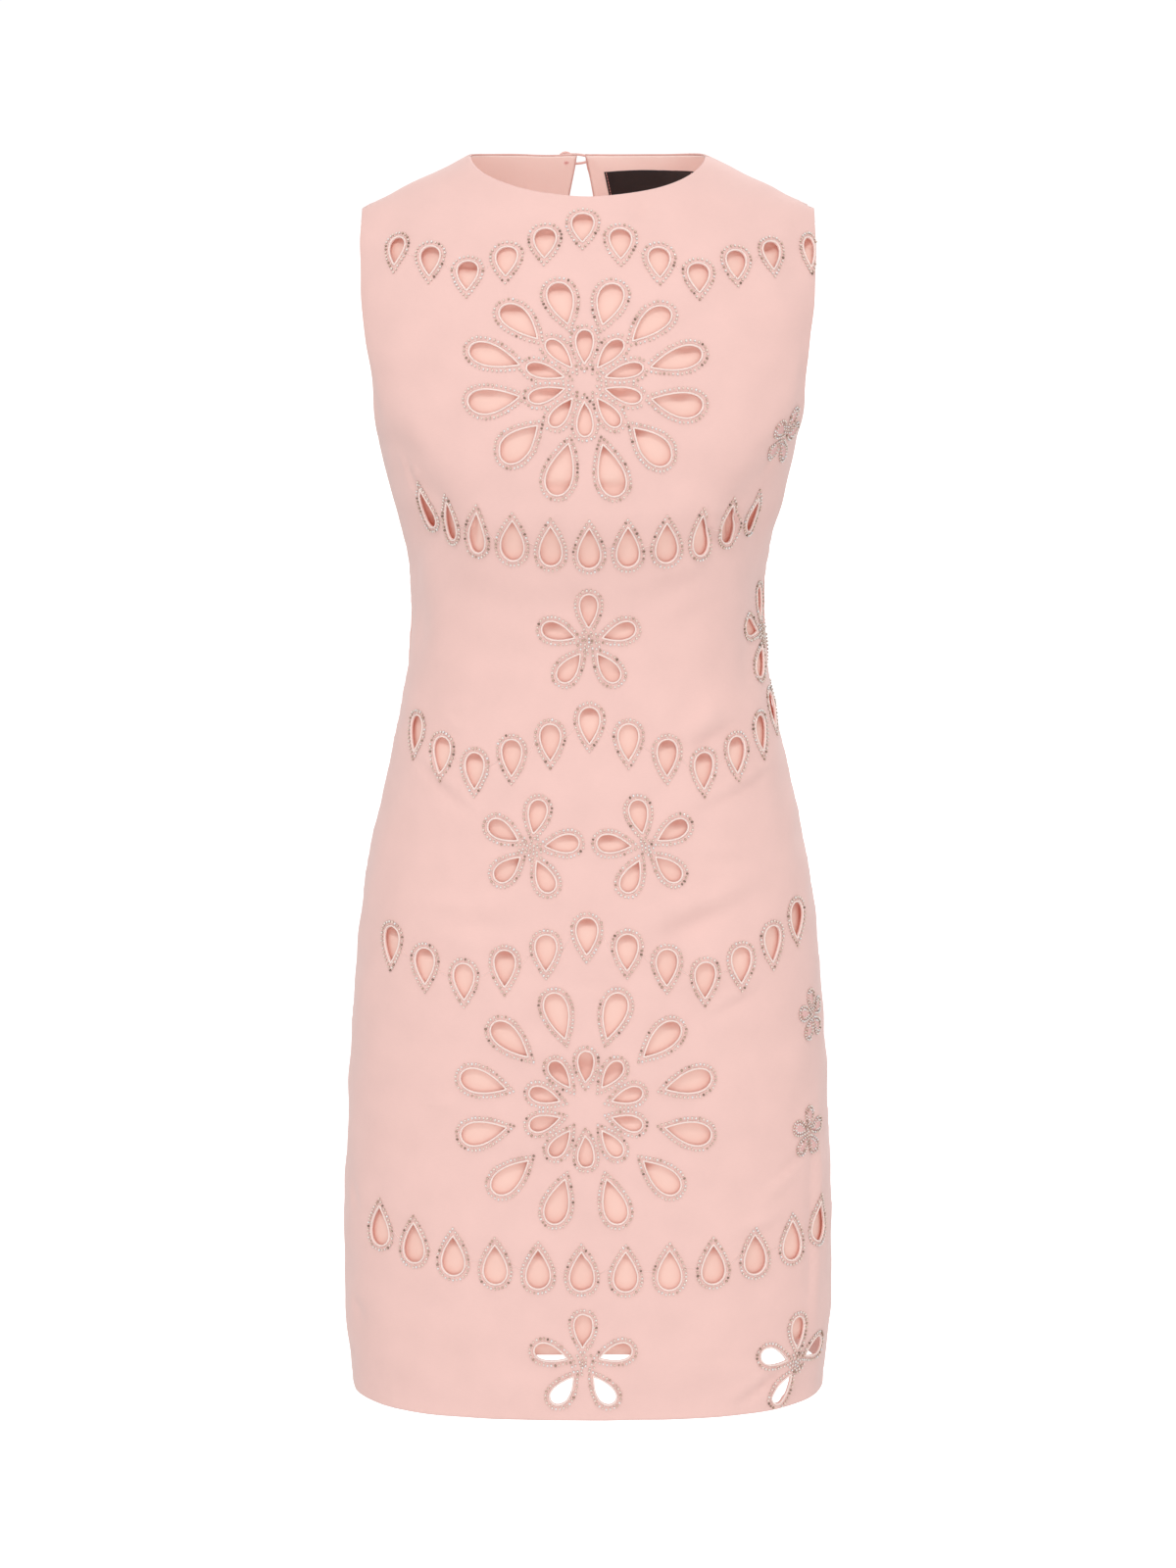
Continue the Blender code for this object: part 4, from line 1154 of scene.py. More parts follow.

# %% [markdown]
# A bead's painted reflection picks its colour from a ramp that runs from brown to white, and painted shade
# darkens its rim.

# %% Bead material
def build_bead_glass():
    """Silver lined glass, whose brightness is painted: a painted reflection that each bead carries, and
    painted shade at its rim.
    """
    material, tree, shader = new_material("silver_bead")
    tone = tree.nodes.new("ShaderNodeAttribute")
    tone.attribute_name = "tone"
    ramp = tree.nodes.new("ShaderNodeValToRGB")
    stops = [
        (0.0, (0.24, 0.16, 0.11)),
        (0.2, (0.66, 0.46, 0.34)),
        (0.4, (1.0, 0.79, 0.67)),
        (0.7, (1.0, 0.90, 0.82)),
        (1.0, (1.0, 0.97, 0.95)),
    ]
    ramp.color_ramp.elements[0].color = (*stops[0][1], 1)
    ramp.color_ramp.elements[1].position, ramp.color_ramp.elements[1].color = 1.0, (*stops[-1][1], 1)
    for position, colour in stops[1:-1]:
        ramp.color_ramp.elements.new(position).color = (*colour, 1)
    tree.links.new(tone.outputs["Fac"], ramp.inputs["Fac"])
    # Painted shade: each bead's colour is darkened round its rim by a factor that it carries.
    shine = tree.nodes.new("ShaderNodeAttribute")
    shine.attribute_name = "shine"
    tree.links.new(shaded(tree, ramp.outputs["Color"], shine.outputs["Fac"]), shader.inputs["Base Color"])
    shader.inputs["Roughness"].default_value = 0.30
    shader.inputs["Specular IOR Level"].default_value = 0.35
    shader.inputs["Coat Weight"].default_value = 0.3
    return material


bead_glass = build_bead_glass()
print("bead material:", bead_glass.name)

# %% [markdown]
# ## Front and back
# Each panel has a rolled edge, because the poplin is turned in over the lining at the neck and armholes and
# meets the other panel in a seam. Within two millimetres of its edge the sheet therefore curves inwards,
# which also draws the seam as a fine groove. The hem is turned up and is twice as thick, up to its stitches.

# %% Outer panels
CLOTH = 0.0010
FINE_STEP = 0.0048
ROLL = 0.0018
ROLL_DEPTH = 0.0009
EDGE_BANDS = (0.0005, 0.0012, 0.0026)


def rolled(away):
    """How far the cloth has curved in, for points at some distances from the edge."""
    left = np.clip(1 - away / ROLL, 0, 1)
    return ROLL_DEPTH * (1 - np.sqrt(1 - left**2))


def make_panel(side):
    outline = OUTLINES[side]
    sheet = cut_sheet(outline, PETALS[side], FINE_STEP, EDGE_BANDS)
    mesh = flat_mesh(side + "_cloth", side, [sheet])
    across, along = flat_columns(mesh)
    away = distance(np.column_stack([across, along]), outline)
    panel = add_object(side + "_cloth", mesh, poplin)
    turned_up = panel.vertex_groups.new(name="hem_turning")
    for i in np.flatnonzero(along < HEM + HEM_DEPTH + 0.0005):
        turned_up.add([int(i)], 1.0, "REPLACE")
    move_to(mesh, placed(side, across, along, -rolled(away)))
    solid = thicken(panel, CLOTH * 2)
    solid.vertex_group = turned_up.name
    solid.thickness_vertex_group = 0.5
    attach(panel, "root")
    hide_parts(side)
    return panel


panels = {side: make_panel(side) for side in SIDES}
print("panel faces:", {side: len(panels[side].data.polygons) for side in SIDES})

# %% [markdown]
# ## Linings
# The lining is sewn in at the neck, keyhole and armholes, a little inside the poplin's edge so that it never
# shows past it, and is held close at the side seams. Elsewhere it hangs a few millimetres free, with slack
# behind the upper ends of the petals and more room under the bust. It ends above the hem of the dress.

# %% Front and back lining
LINING_CLOTH = 0.0007
LINING_AT_EDGE = 0.0011
LINING_GAP = 0.0032
SLACK = 0.0062
SLACK_WIDE, SLACK_TALL = 0.0075, 0.0048
LINING_SWAY = 0.0006
SEAM_HOLD = 0.75
SEAM_HOLD_REACH = 0.022
UNDER_BUST_GAP = 0.0040
LINING_EASE = 0.016
LINING_SET_BACK = 0.0011
LINING_STEP = 0.0085
LINING_BANDS = (0.0012, 0.004)
LINING_EDGE_STEP = 0.0075
Spot = namedtuple("Spot", "across along wide tall")
UNDER_BUST = Spot(0.130, -0.255, 0.018, 0.030)
CRUMPLED = Spot(0.110, -0.250, 0.030, 0.030)
LINING_FOLDS = {
    "front": [
        Fold(0.0, -0.2262, 0.110, 0.0045, 90, -0.0016),
        Fold(0.030, -0.3560, 0.080, 0.0060, 80, -0.0012),
        Fold(0.0, -0.6400, 0.110, 0.0070, 90, -0.0030),
    ],
    "back": [
        Fold(0.010, -0.2700, 0.120, 0.0080, 84, -0.0016),
        Fold(-0.040, -0.3300, 0.100, 0.0080, 96, -0.0012),
    ],
}


def lining_outline(side):
    """The panel's outline down to the lining's hem, set back from the edges that it is sewn to."""
    outline = panel_outline(side, LINING_HEM, LINING_EDGE_STEP)
    run = np.roll(outline, -1, axis=0) - np.roll(outline, 1, axis=0)
    run /= np.linalg.norm(run, axis=1)[:, None]
    sewn = np.clip((outline[:, 1] - CHEST_LINE) / 0.02, 0, 1)
    return outline + np.column_stack([-run[:, 1], run[:, 0]]) * (LINING_SET_BACK * sewn)[:, None]


def sewn_lines(side):
    """The edges to which the lining is sewn, as open chains of flat points."""
    right = np.vstack([armhole_edge(side), shoulder_edge(side)[:1]])
    neck = neck_edge(side)
    lines = [right, right * (-1, 1), neck, neck * (-1, 1)]
    return lines + [keyhole_edge(1), keyhole_edge(-1)] if side == "back" else lines


def close_to(spot, across, along):
    """1 at a spot and at its mirror image across the centre line, and less further away."""
    dx, dz = (np.abs(across) - spot.across) / spot.wide, (along - spot.along) / spot.tall
    return np.exp(-(dx**2) - dz**2)


def free_of_seam(side, across, along):
    """Low at the side seams, where the lining is held to the cloth, and one further away."""
    from_seam = half_round(side, along) - np.abs(across)
    return 1 - SEAM_HOLD * np.exp(-((from_seam / SEAM_HOLD_REACH) ** 2)) * (along < CHEST_LINE)


def lining_inset(side, across, along):
    """How far inside the figure's surface the lining's outer face lies before its own slack and folds."""
    points = np.column_stack([across, along])
    away = np.min([distance(points, np.vstack([line, line[::-1]])) for line in sewn_lines(side)], axis=0)
    share = np.clip(away / LINING_EASE, 0, 1)
    under_bust = close_to(UNDER_BUST, across, along)
    troughs = folds(side, across, along).clip(max=0)
    gap = (LINING_GAP - LINING_AT_EDGE) * share * (2 - share) + UNDER_BUST_GAP * under_bust * share
    return LINING_AT_EDGE + gap * free_of_seam(side, across, along) - troughs


def slack(side, across, along):
    """How much deeper the lining hangs behind each petal's upper end, more at some than at others."""
    total = np.zeros_like(across)
    for petal in PETALS[side]:
        loop = petal_loop(petal)
        top = loop[np.argmax(loop[:, 1])]
        deep = SLACK * (0.5 + 0.5 * math.sin(900 * petal.across + 700 * petal.along))
        dx, dz = (across - top[0]) / SLACK_WIDE, (along - top[1]) / SLACK_TALL
        total = np.maximum(total, deep * np.exp(-(dx**2) - dz**2))
    return total * free_of_seam(side, across, along) * (1 - close_to(CRUMPLED, across, along))


def make_lining(side):
    outline = lining_outline(side)
    sheet = cut_sheet(outline, [], LINING_STEP, LINING_BANDS, dense=PETALS[side])
    mesh = flat_mesh("lining_" + side + "_cloth", side, [sheet])
    across, along = flat_columns(mesh)
    sway = LINING_SWAY * np.sin(across * 52 + 1.7 * np.sin(along * 9))
    sway *= np.clip((CHEST_LINE - along) / 0.2, 0, 1)
    sway += relief(LINING_FOLDS[side], across, along) - slack(side, across, along)
    move_to(mesh, placed(side, across, along, sway - lining_inset(side, across, along), folded=0.0))
    lining = add_object("lining_" + side + "_cloth", mesh, lining_cloths[side])
    thicken(lining, LINING_CLOTH)
    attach(lining, "root")
    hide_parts("lining_" + side)
    return lining


linings = {side: make_lining(side) for side in SIDES}
print("lining faces:", {side: len(linings[side].data.polygons) for side in SIDES})

# %% [markdown]
# ## Cord round every petal
# The raw edge of each petal is covered by a padded cord of satin stitch, whose ends meet at the petal's
# point. A curve with a round bevel and one closed spline for each petal gives exactly that, and turning it
# into a mesh keeps a UV map that runs round and along the cord for its threads. The cord at the armhole is
# the one whose ends are not joined: they meet inside its own thickness.

# %% Satin cords
CORD_RADIUS = 0.00068
CORD_OUT = 0.0006
CORD_LIFT = 0.0003
CORD_STEPS = 38


def curve_piece(name, paths, radius, sides, material):
    """Tubes along paths of points, given as (points, closed), as one mesh with a UV map named thread."""
    curve = bpy.data.curves.new(name, "CURVE")
    curve.dimensions = "3D"
    curve.bevel_depth = radius
    curve.bevel_resolution = (sides - 4) // 2
    curve.use_fill_caps = True
    for points, closed in paths:
        spline = curve.splines.new("POLY")
        spline.points.add(len(points) - 1)
        spline.points.foreach_set("co", np.column_stack([points, np.ones(len(points))]).ravel())
        spline.use_cyclic_u = closed
    drawn = add_object(name + "_path", curve)
    mesh = bpy.data.meshes.new_from_object(drawn.evaluated_get(bpy.context.evaluated_depsgraph_get()))
    bpy.data.objects.remove(drawn)
    mesh.name = name
    if mesh.uv_layers:
        mesh.uv_layers[0].name = "thread"
    mesh.shade_smooth()
    piece = add_object(name, mesh)
    mesh.materials.clear()
    mesh.materials.append(material)
    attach(piece, "root")
    return piece


def make_cords(side):
    paths = []
    for petal in PETALS[side]:
        loop = petal_loop(petal, CORD_OUT, CORD_STEPS)
        closed = petal is not ARMHOLE_PETAL
        paths.append((placed(side, loop[:, 0], loop[:, 1], CORD_LIFT), closed))
    cords = curve_piece("cords_" + side, paths, CORD_RADIUS, 6, cord_satin)
    return cords


cords = {side: make_cords(side) for side in SIDES}
print("cord faces:", {side: len(cords[side].data.polygons) for side in SIDES})

# %% [markdown]
# Between the petals of a row the embroiderer carries the thread over without cutting it. These fine jump
# threads lie on the cloth from one bead frame to the next.

# %% Jump threads
BEAD_OUT = 0.0036
JUMP_RADIUS = 0.00016


def make_jumps(side):
    paths = []
    for row in ROWS:
        petals = row_petals(row)
        for k in range(-row.left, row.right):
            a, b = petals[k], petals[k + 1]
            if a not in PETALS[side] or b not in PETALS[side]:
                continue
            reach = row.width / 2 + BEAD_OUT
            low = 0.003 * math.sin(2.1 * k + row.height * 90)
            start = np.array([a.across + reach - 0.001, a.along + low])
            end = np.array([b.across - reach + 0.001, b.along - low])
            share = np.linspace(0, 1, 4)[:, None]
            line = start + (end - start) * share
            paths.append((placed(side, line[:, 0], line[:, 1], JUMP_RADIUS * 1.5), False))
    jumps = curve_piece("jump_threads_" + side, paths, JUMP_RADIUS, 4, cord_satin)
    return jumps


jumps = {side: make_jumps(side) for side in SIDES}
print("jump threads:", {side: len(jumps[side].data.polygons) for side in SIDES})

# %% [markdown]
# ## Beads
# Two rows of beads frame each cord: an outer row of round silver beads and, between it and the cord, a few
# tiny cut ones that glitter. Geometry Nodes sews one bead form on to every point of a cloud and makes
# the copies real. Each point carries the way out of the cloth, the way along its row, a size and a painted
# reflection.

# %% Sewing many small things on with Geometry Nodes
AHEAD = 0.0005


def set_attribute(mesh, name, kind, values):
    attribute = mesh.attributes.new(name, kind, "POINT")
    key = "vector" if kind == "FLOAT_VECTOR" else "value"
    attribute.data.foreach_set(key, np.asarray(values, np.float32).ravel())


def sewing_tree(form):
    """A node tree that puts a form on every point, turned by the point's out and run attributes."""
    tree = bpy.data.node_groups.new("sew_" + form.name, "GeometryNodeTree")
    tree.interface.new_socket("Geometry", in_out="INPUT", socket_type="NodeSocketGeometry")
    tree.interface.new_socket("Geometry", in_out="OUTPUT", socket_type="NodeSocketGeometry")
    given, made = tree.nodes.new("NodeGroupInput"), tree.nodes.new("NodeGroupOutput")
    bead = tree.nodes.new("GeometryNodeObjectInfo")
    bead.inputs["Object"].default_value = form
    turned = tree.nodes.new("FunctionNodeAxesToRotation")
    turned.primary_axis, turned.secondary_axis = "Z", "X"
    sewn = tree.nodes.new("GeometryNodeInstanceOnPoints")
    real = tree.nodes.new("GeometryNodeRealizeInstances")
    wanted = [("out", "FLOAT_VECTOR", "Primary Axis"), ("run", "FLOAT_VECTOR", "Secondary Axis")]
    for name, kind, socket in wanted:
        read = tree.nodes.new("GeometryNodeInputNamedAttribute")
        read.data_type = kind
        read.inputs["Name"].default_value = name
        tree.links.new(read.outputs["Attribute"], turned.inputs[socket])
    size = tree.nodes.new("GeometryNodeInputNamedAttribute")
    size.data_type = "FLOAT"
    size.inputs["Name"].default_value = "size"
    tree.links.new(size.outputs["Attribute"], sewn.inputs["Scale"])
    tree.links.new(given.outputs["Geometry"], sewn.inputs["Points"])
    tree.links.new(bead.outputs["Geometry"], sewn.inputs["Instance"])
    tree.links.new(turned.outputs["Rotation"], sewn.inputs["Rotation"])
    tree.links.new(sewn.outputs["Instances"], real.inputs["Geometry"])
    tree.links.new(real.outputs["Geometry"], made.inputs["Geometry"])
    return tree


def sew_on(name, form, side, spots, runs, lift, size, tone, material):
    """Sews a form on at flat spots, each turned along its run, and returns the finished piece."""
    cloud = bpy.data.meshes.new(name + "_cloud")
    here = placed(side, spots[:, 0], spots[:, 1], lift)
    ahead = placed(side, spots[:, 0] + runs[:, 0] * AHEAD, spots[:, 1] + runs[:, 1] * AHEAD, lift)
    cloud.from_pydata(here.tolist(), [], [])
    set_attribute(cloud, "out", "FLOAT_VECTOR", outward(side, spots[:, 0], spots[:, 1]))
    set_attribute(cloud, "run", "FLOAT_VECTOR", ahead - here)
    set_attribute(cloud, "size", "FLOAT", size)
    set_attribute(cloud, "tone", "FLOAT", tone)
    carrier = add_object(name + "_carrier", cloud)
    sewing = carrier.modifiers.new("sewing", "NODES")
    sewing.node_group = sewing_tree(form)
    mesh = bpy.data.meshes.new_from_object(carrier.evaluated_get(bpy.context.evaluated_depsgraph_get()))
    bpy.data.objects.remove(carrier)
    mesh.name = name
    mesh.materials.clear()
    piece = add_object(name, mesh, material)
    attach(piece, "root")
    return piece


def form_from(name, build, smooth):
    """A small shape to sew on, centred on the origin. It is removed once everything is sewn."""
    bm = bmesh.new()
    build(bm)
    for face in bm.faces:
        face.smooth = smooth
    mesh = bpy.data.meshes.new(name)
    bm.to_mesh(mesh)
    bm.free()
    return add_object(name, mesh)


def round_bead(bm):
    """A short barrel, whose hole runs along X. Painted shade leaves it light on top and dark round the rim.
    """
    bmesh.ops.create_uvsphere(bm, u_segments=8, v_segments=4, radius=BEAD_RADIUS)
    bmesh.ops.rotate(bm, verts=bm.verts, cent=(0, 0, 0), matrix=QUARTER_TURN)
    bmesh.ops.scale(bm, verts=bm.verts, vec=BEAD_SQUASH)
    shine = bm.verts.layers.float.new("shine")
    for vert in bm.verts:
        vert[shine] = PAINTED_RIM_SHADE + (1 - PAINTED_RIM_SHADE) * max(vert.co.z / (BEAD_SQUASH[2] * BEAD_RADIUS), 0)


def cut_bead(bm):
    bmesh.ops.create_icosphere(bm, subdivisions=1, radius=CUT_BEAD_RADIUS)
    # The cut beads all carry one even level of painted shade.
    shine = bm.verts.layers.float.new("shine")
    for vert in bm.verts:
        vert[shine] = CUT_BEAD_PAINTED_SHADE


def stitch_form(bm):
    """One stitch: a thread that dives into the cloth at both ends."""
    bmesh.ops.create_icosphere(bm, subdivisions=1, radius=STITCH_RADIUS)
    bmesh.ops.scale(bm, verts=bm.verts, vec=STITCH_STRETCH)


BEAD_RADIUS = 0.00100
BEAD_SQUASH = (0.80, 1, 0.90)
PAINTED_RIM_SHADE = 0.52
CUT_BEAD_RADIUS = 0.00050
CUT_BEAD_PAINTED_SHADE = 0.9
STITCH_RADIUS = 0.0005
STITCH_STRETCH = (1.9, 0.34, 0.34)
QUARTER_TURN = Vector((0, 0, 1)).rotation_difference(Vector((1, 0, 0))).to_matrix()
bead_form = form_from("bead_form", round_bead, True)
glitter_form = form_from("glitter_form", cut_bead, False)
stitch = form_from("stitch_form", stitch_form, True)
print("faces of a bead and a cut bead:", len(bead_form.data.polygons), len(glitter_form.data.polygons))

# %% [markdown]
# The beads of a row are spaced evenly from the petal's point round. Where frames meet, as at the middle of a
# flower, beads that would touch are left out, first come first sewn. A few loose rings of beads fill the
# middle of each flower.

# %% Where the beads go
BEAD_PITCH = 0.00280
GLITTER_OUT = 0.0019
GLITTER_PITCH = 0.0078
BEAD_ROOM = 0.00200
GLITTER_ROOM = 0.00115
ROOM_BY_BEADS = 0.00140
BEAD_FROM_PETAL, BEAD_FROM_EDGE = 0.0025, 0.0016
GLITTER_FROM_PETAL, GLITTER_FROM_EDGE = 0.0017, 0.0012
FRAME_STEPS = 72
CELL = 0.003
HEART_RINGS = [(0.0027, 6), (0.0055, 11), (0.0080, 15)]
HEART_FROM_EDGE = 0.012
dice = np.random.default_rng(20)


def evenly(loop, pitch, shift=0.0):
    """Points and directions at even spacing round a closed loop."""
    closed = np.vstack([loop, loop[:1]])
    lengths = np.concatenate([[0], np.cumsum(np.linalg.norm(np.diff(closed, axis=0), axis=1))])
    count = max(round(lengths[-1] / pitch), 3)
    at = (np.arange(count) + shift) / count * lengths[-1]
    spots = np.column_stack([np.interp(at, lengths, closed[:, i]) for i in (0, 1)])
    further = (at + AHEAD) % lengths[-1]
    ahead = np.column_stack([np.interp(further, lengths, closed[:, i]) for i in (0, 1)])
    return spots, ahead - spots


def frame_spots(petals, out, pitch, shift=0.0):
    made = [evenly(petal_loop(petal, out, FRAME_STEPS), pitch, shift) for petal in petals]
    return np.vstack([m[0] for m in made]), np.vstack([m[1] for m in made])


def free_of(spots, petals, margin):
    """Which spots stand clear of every petal's hole and cord."""
    keep = np.ones(len(spots), bool)
    for petal in petals:
        close = np.flatnonzero(near(spots, petal) & keep)
        keep[close[inside(spots[close], petal_loop(petal, margin))]] = False
    return keep


def cells_round(x, z):
    """The square cell that a spot lies in, and its eight neighbours."""
    column, row = int(x // CELL), int(z // CELL)
    return (column, row), [(column + i, row + j) for i in (-1, 0, 1) for j in (-1, 0, 1)]


def roomy(spots, room, taken=(), taken_room=0.0):
    """Which spots keep their distance from those before them and from the taken ones."""
    keep = np.zeros(len(spots), bool)
    cells = defaultdict(list)
    for x, z in taken:
        cells[cells_round(x, z)[0]].append((x, z, taken_room))
    for i, (x, z) in enumerate(spots):
        own, around = cells_round(x, z)
        others = [other for cell in around for other in cells.get(cell, ())]
        if all((x - ox) ** 2 + (z - oz) ** 2 >= other_room**2 for ox, oz, other_room in others):
            keep[i] = True
            cells[own].append((x, z, room))
    return keep


def heart_spots(flower):
    """Rings of beads over the middle of a flower."""
    spots = [(flower.centre, flower.height)]
    for radius, count in HEART_RINGS:
        turn = np.arange(count) * math.tau / count + radius * 400
        spots += list(zip(flower.centre + radius * np.sin(turn), flower.height + radius * np.cos(turn)))
    spots = np.array(spots)
    return spots, np.tile((AHEAD, 0.0), (len(spots), 1))


def painted_bead_glints(spots, runs):
    """Painted reflections, bright and dark: by the way the beads face, in stretches, and by chance."""
    level = (runs[:, 0] ** 2 - runs[:, 1] ** 2) / np.maximum((runs**2).sum(axis=1), 1e-12)
    stretch = np.sin(spots[:, 0] * 310 + 2 * np.sin(spots[:, 1] * 170)) * np.sin(spots[:, 1] * 270 + 1)
    # Beads whose row runs level are painted brighter than upright ones, a painted reflection of the way they
    # face the lamps.
    value = 0.52 + 0.12 * level + 0.16 * stretch + dice.normal(0, 0.22, len(spots))
    return value.clip(0.02, 1)


def whole_flowers(side):
    """Flowers whose middle lies on this panel."""
    centres = np.array([(f.centre, f.height) for f in FLOWERS])
    on = inside(centres, OUTLINES[side]) & (distance(centres, OUTLINES[side]) > HEART_FROM_EDGE)
    return [flower for flower, kept in zip(FLOWERS, on) if kept]


def on_cloth(side, spots, runs, from_petal, from_edge):
    """The spots that stand clear of petals and panel edge, with their runs."""
    keep = free_of(spots, PETALS[side], from_petal) & inside(spots, OUTLINES[side])
    keep &= distance(spots, OUTLINES[side]) > from_edge
    return spots[keep], runs[keep]


bead_places, glitter_places = {}, {}
for side in SIDES:
    spots, runs = frame_spots(PETALS[side], BEAD_OUT, BEAD_PITCH)
    for flower in whole_flowers(side):
        more, more_runs = heart_spots(flower)
        spots, runs = np.vstack([spots, more]), np.vstack([runs, more_runs])
    spots, runs = on_cloth(side, spots, runs, BEAD_FROM_PETAL, BEAD_FROM_EDGE)
    keep = roomy(spots, BEAD_ROOM)
    bead_places[side] = (spots[keep], runs[keep])
    spots, runs = frame_spots(PETALS[side], GLITTER_OUT, GLITTER_PITCH, 0.5)
    spots, runs = on_cloth(side, spots, runs, GLITTER_FROM_PETAL, GLITTER_FROM_EDGE)
    keep = roomy(spots, GLITTER_ROOM, bead_places[side][0], ROOM_BY_BEADS)
    glitter_places[side] = (spots[keep], runs[keep])
print("beads:", {side: (len(bead_places[side][0]), len(glitter_places[side][0])) for side in SIDES})

# %% [markdown]
# Every silver bead gets a small shift, a size and a painted reflection of its own, partly by chance, and
# every cut bead a size and a painted reflection.

# %% Sewing the beads on
BEAD_LIFT, GLITTER_LIFT = 0.0007, 0.0004
beads = {}
for side in SIDES:
    spots, runs = bead_places[side]
    size = dice.normal(1, 0.06, len(spots)).clip(0.85, 1.12)
    moved = spots + dice.normal(0, 0.00012, spots.shape)
    tone = painted_bead_glints(spots, runs)
    name = "silver_beads_" + side
    beads[side, "silver"] = sew_on(
        name, bead_form, side, moved, runs, BEAD_LIFT, size, tone, bead_glass
    )
    spots, runs = glitter_places[side]
    size = dice.normal(1, 0.10, len(spots)).clip(0.8, 1.2)
    tone = dice.uniform(0.4, 0.8, len(spots))
    name = "cut_beads_" + side
    beads[side, "cut"] = sew_on(
        name, glitter_form, side, spots, runs, GLITTER_LIFT, size, tone, bead_glass
    )
print("bead faces:", {name: len(piece.data.polygons) for name, piece in beads.items()})

# %% [markdown]
# ## Small embroidered flowers
# Near one side seam three small flowers are worked on the cloth and not cut out. Their petals are pads of
# pink satin stitch, each with a ring of beads round it and as much of a second one on it as has room. A pad
# is a small sheet from the same pattern, raised in the middle, and its UV map runs along the petal, so that
# the threads cross it.

# %% Satin flowers
SATIN_FLOWERS = [
    Flower(0.1530, -0.1945, 0.0116, 0.0148, 0.0098, 8),
    Flower(0.1825, -0.6148, 0.0110, 0.0138, 0.0090, -5),
    Flower(0.1735, -0.6987, 0.0110, 0.0138, 0.0090, 4),
]
PAD_HEIGHT = 0.0010
PAD_STEP = 0.0016
PAD_LIFT = 0.0001
PAD_THICKNESS = 0.0004
PAD_FROM_EDGE = 0.001
SATIN_BEAD_FROM_EDGE = 0.0012
SATIN_BEAD_OUT = 0.0009
SATIN_BEAD_IN = -0.00135
SATIN_BEAD_PITCH = 0.0023
SATIN_BEAD_ROOM = 0.0017
SATIN_BEAD_LIFT = 0.0008


def make_pads(side):
    petals = [petal for flower in SATIN_FLOWERS for petal in flower_petals(flower)]
    edge = OUTLINES[side]
    loops = {petal: petal_loop(petal, steps=28) for petal in petals}
    petals = [p for p in petals if inside(loops[p], edge).all()]
    petals = [p for p in petals if distance(loops[p], edge).min() > PAD_FROM_EDGE]
    sheets = [cut_sheet(loops[petal], [], PAD_STEP) for petal in petals]
    mesh = flat_mesh("satin_petals_" + side, side, sheets)
    mesh.uv_layers[0].name = "thread"
    across, along = flat_columns(mesh)
    points = np.column_stack([across, along])
    dome = np.zeros(len(points))
    owner = np.zeros(len(points), int)
    for number, petal in enumerate(petals):
        own = near(points, petal) & (inside(points, petal_loop(petal, 0.0002)))
        depth = distance(points[own], loops[petal]) / (petal.width / 2)
        dome[own] = PAD_HEIGHT * np.sqrt((1 - (1 - depth.clip(0, 1)) ** 2).clip(0))
        owner[own] = number
    turned = np.zeros((len(points), 2))
    for number, petal in enumerate(petals):
        own = owner == number
        turn = math.radians(petal.turn)
        dx, dz = points[own, 0] - petal.across, points[own, 1] - petal.along
        turned[own, 0] = dx * math.cos(turn) - dz * math.sin(turn)
        turned[own, 1] = dx * math.sin(turn) + dz * math.cos(turn)
    corner = np.zeros(len(mesh.loops), int)
    mesh.loops.foreach_get("vertex_index", corner)
    mesh.uv_layers[0].data.foreach_set("uv", (turned[corner] + 0.02).astype(np.float32).ravel())
    move_to(mesh, placed(side, across, along, dome + PAD_LIFT))
    pads = add_object("satin_petals_" + side, mesh, petal_satin)
    thicken(pads, PAD_THICKNESS)
    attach(pads, "root")
    spots, runs = frame_spots(petals, SATIN_BEAD_OUT, SATIN_BEAD_PITCH)
    inner, inner_runs = frame_spots(petals, SATIN_BEAD_IN, SATIN_BEAD_PITCH, 0.5)
    spots, runs = np.vstack([spots, inner]), np.vstack([runs, inner_runs])
    keep = inside(spots, edge) & (distance(spots, edge) > SATIN_BEAD_FROM_EDGE)
    spots, runs = spots[keep], runs[keep]
    keep = roomy(spots, SATIN_BEAD_ROOM)
    spots, runs = spots[keep], runs[keep]
    size = dice.normal(0.90, 0.06, len(spots))
    # The beads on the satin petals get a slightly brighter painted reflection.
    tone = (painted_bead_glints(spots, runs) + 0.12).clip(0, 1)
    name = "petal_beads_" + side
    rim = sew_on(name, bead_form, side, spots, runs, SATIN_BEAD_LIFT, size, tone, bead_glass)
    return pads, rim


satin_flowers = {side: make_pads(side) for side in SIDES}
print("satin petals:", {side: len(satin_flowers[side][0].data.polygons) for side in SIDES})

# %% [markdown]
# ## Label, button and loop
# The label is a strip of black satin, sewn inside the back neck and left bare. The keyhole is closed by a
# covered button on the outside and a loop of narrow tube that crosses the slit.

# %% Label
LABEL_CLOTH = 0.00045


def on_label(right, down):
    """Flat points of the back at lengths to the right and down from the label's upper left corner."""
    corner = flat_at("back", *LABEL_CORNER)[0]
    lean = np.array([math.cos(LABEL_LEAN), math.sin(LABEL_LEAN)])
    return corner + np.outer(right, lean) + np.outer(down, (lean[1], -lean[0]))


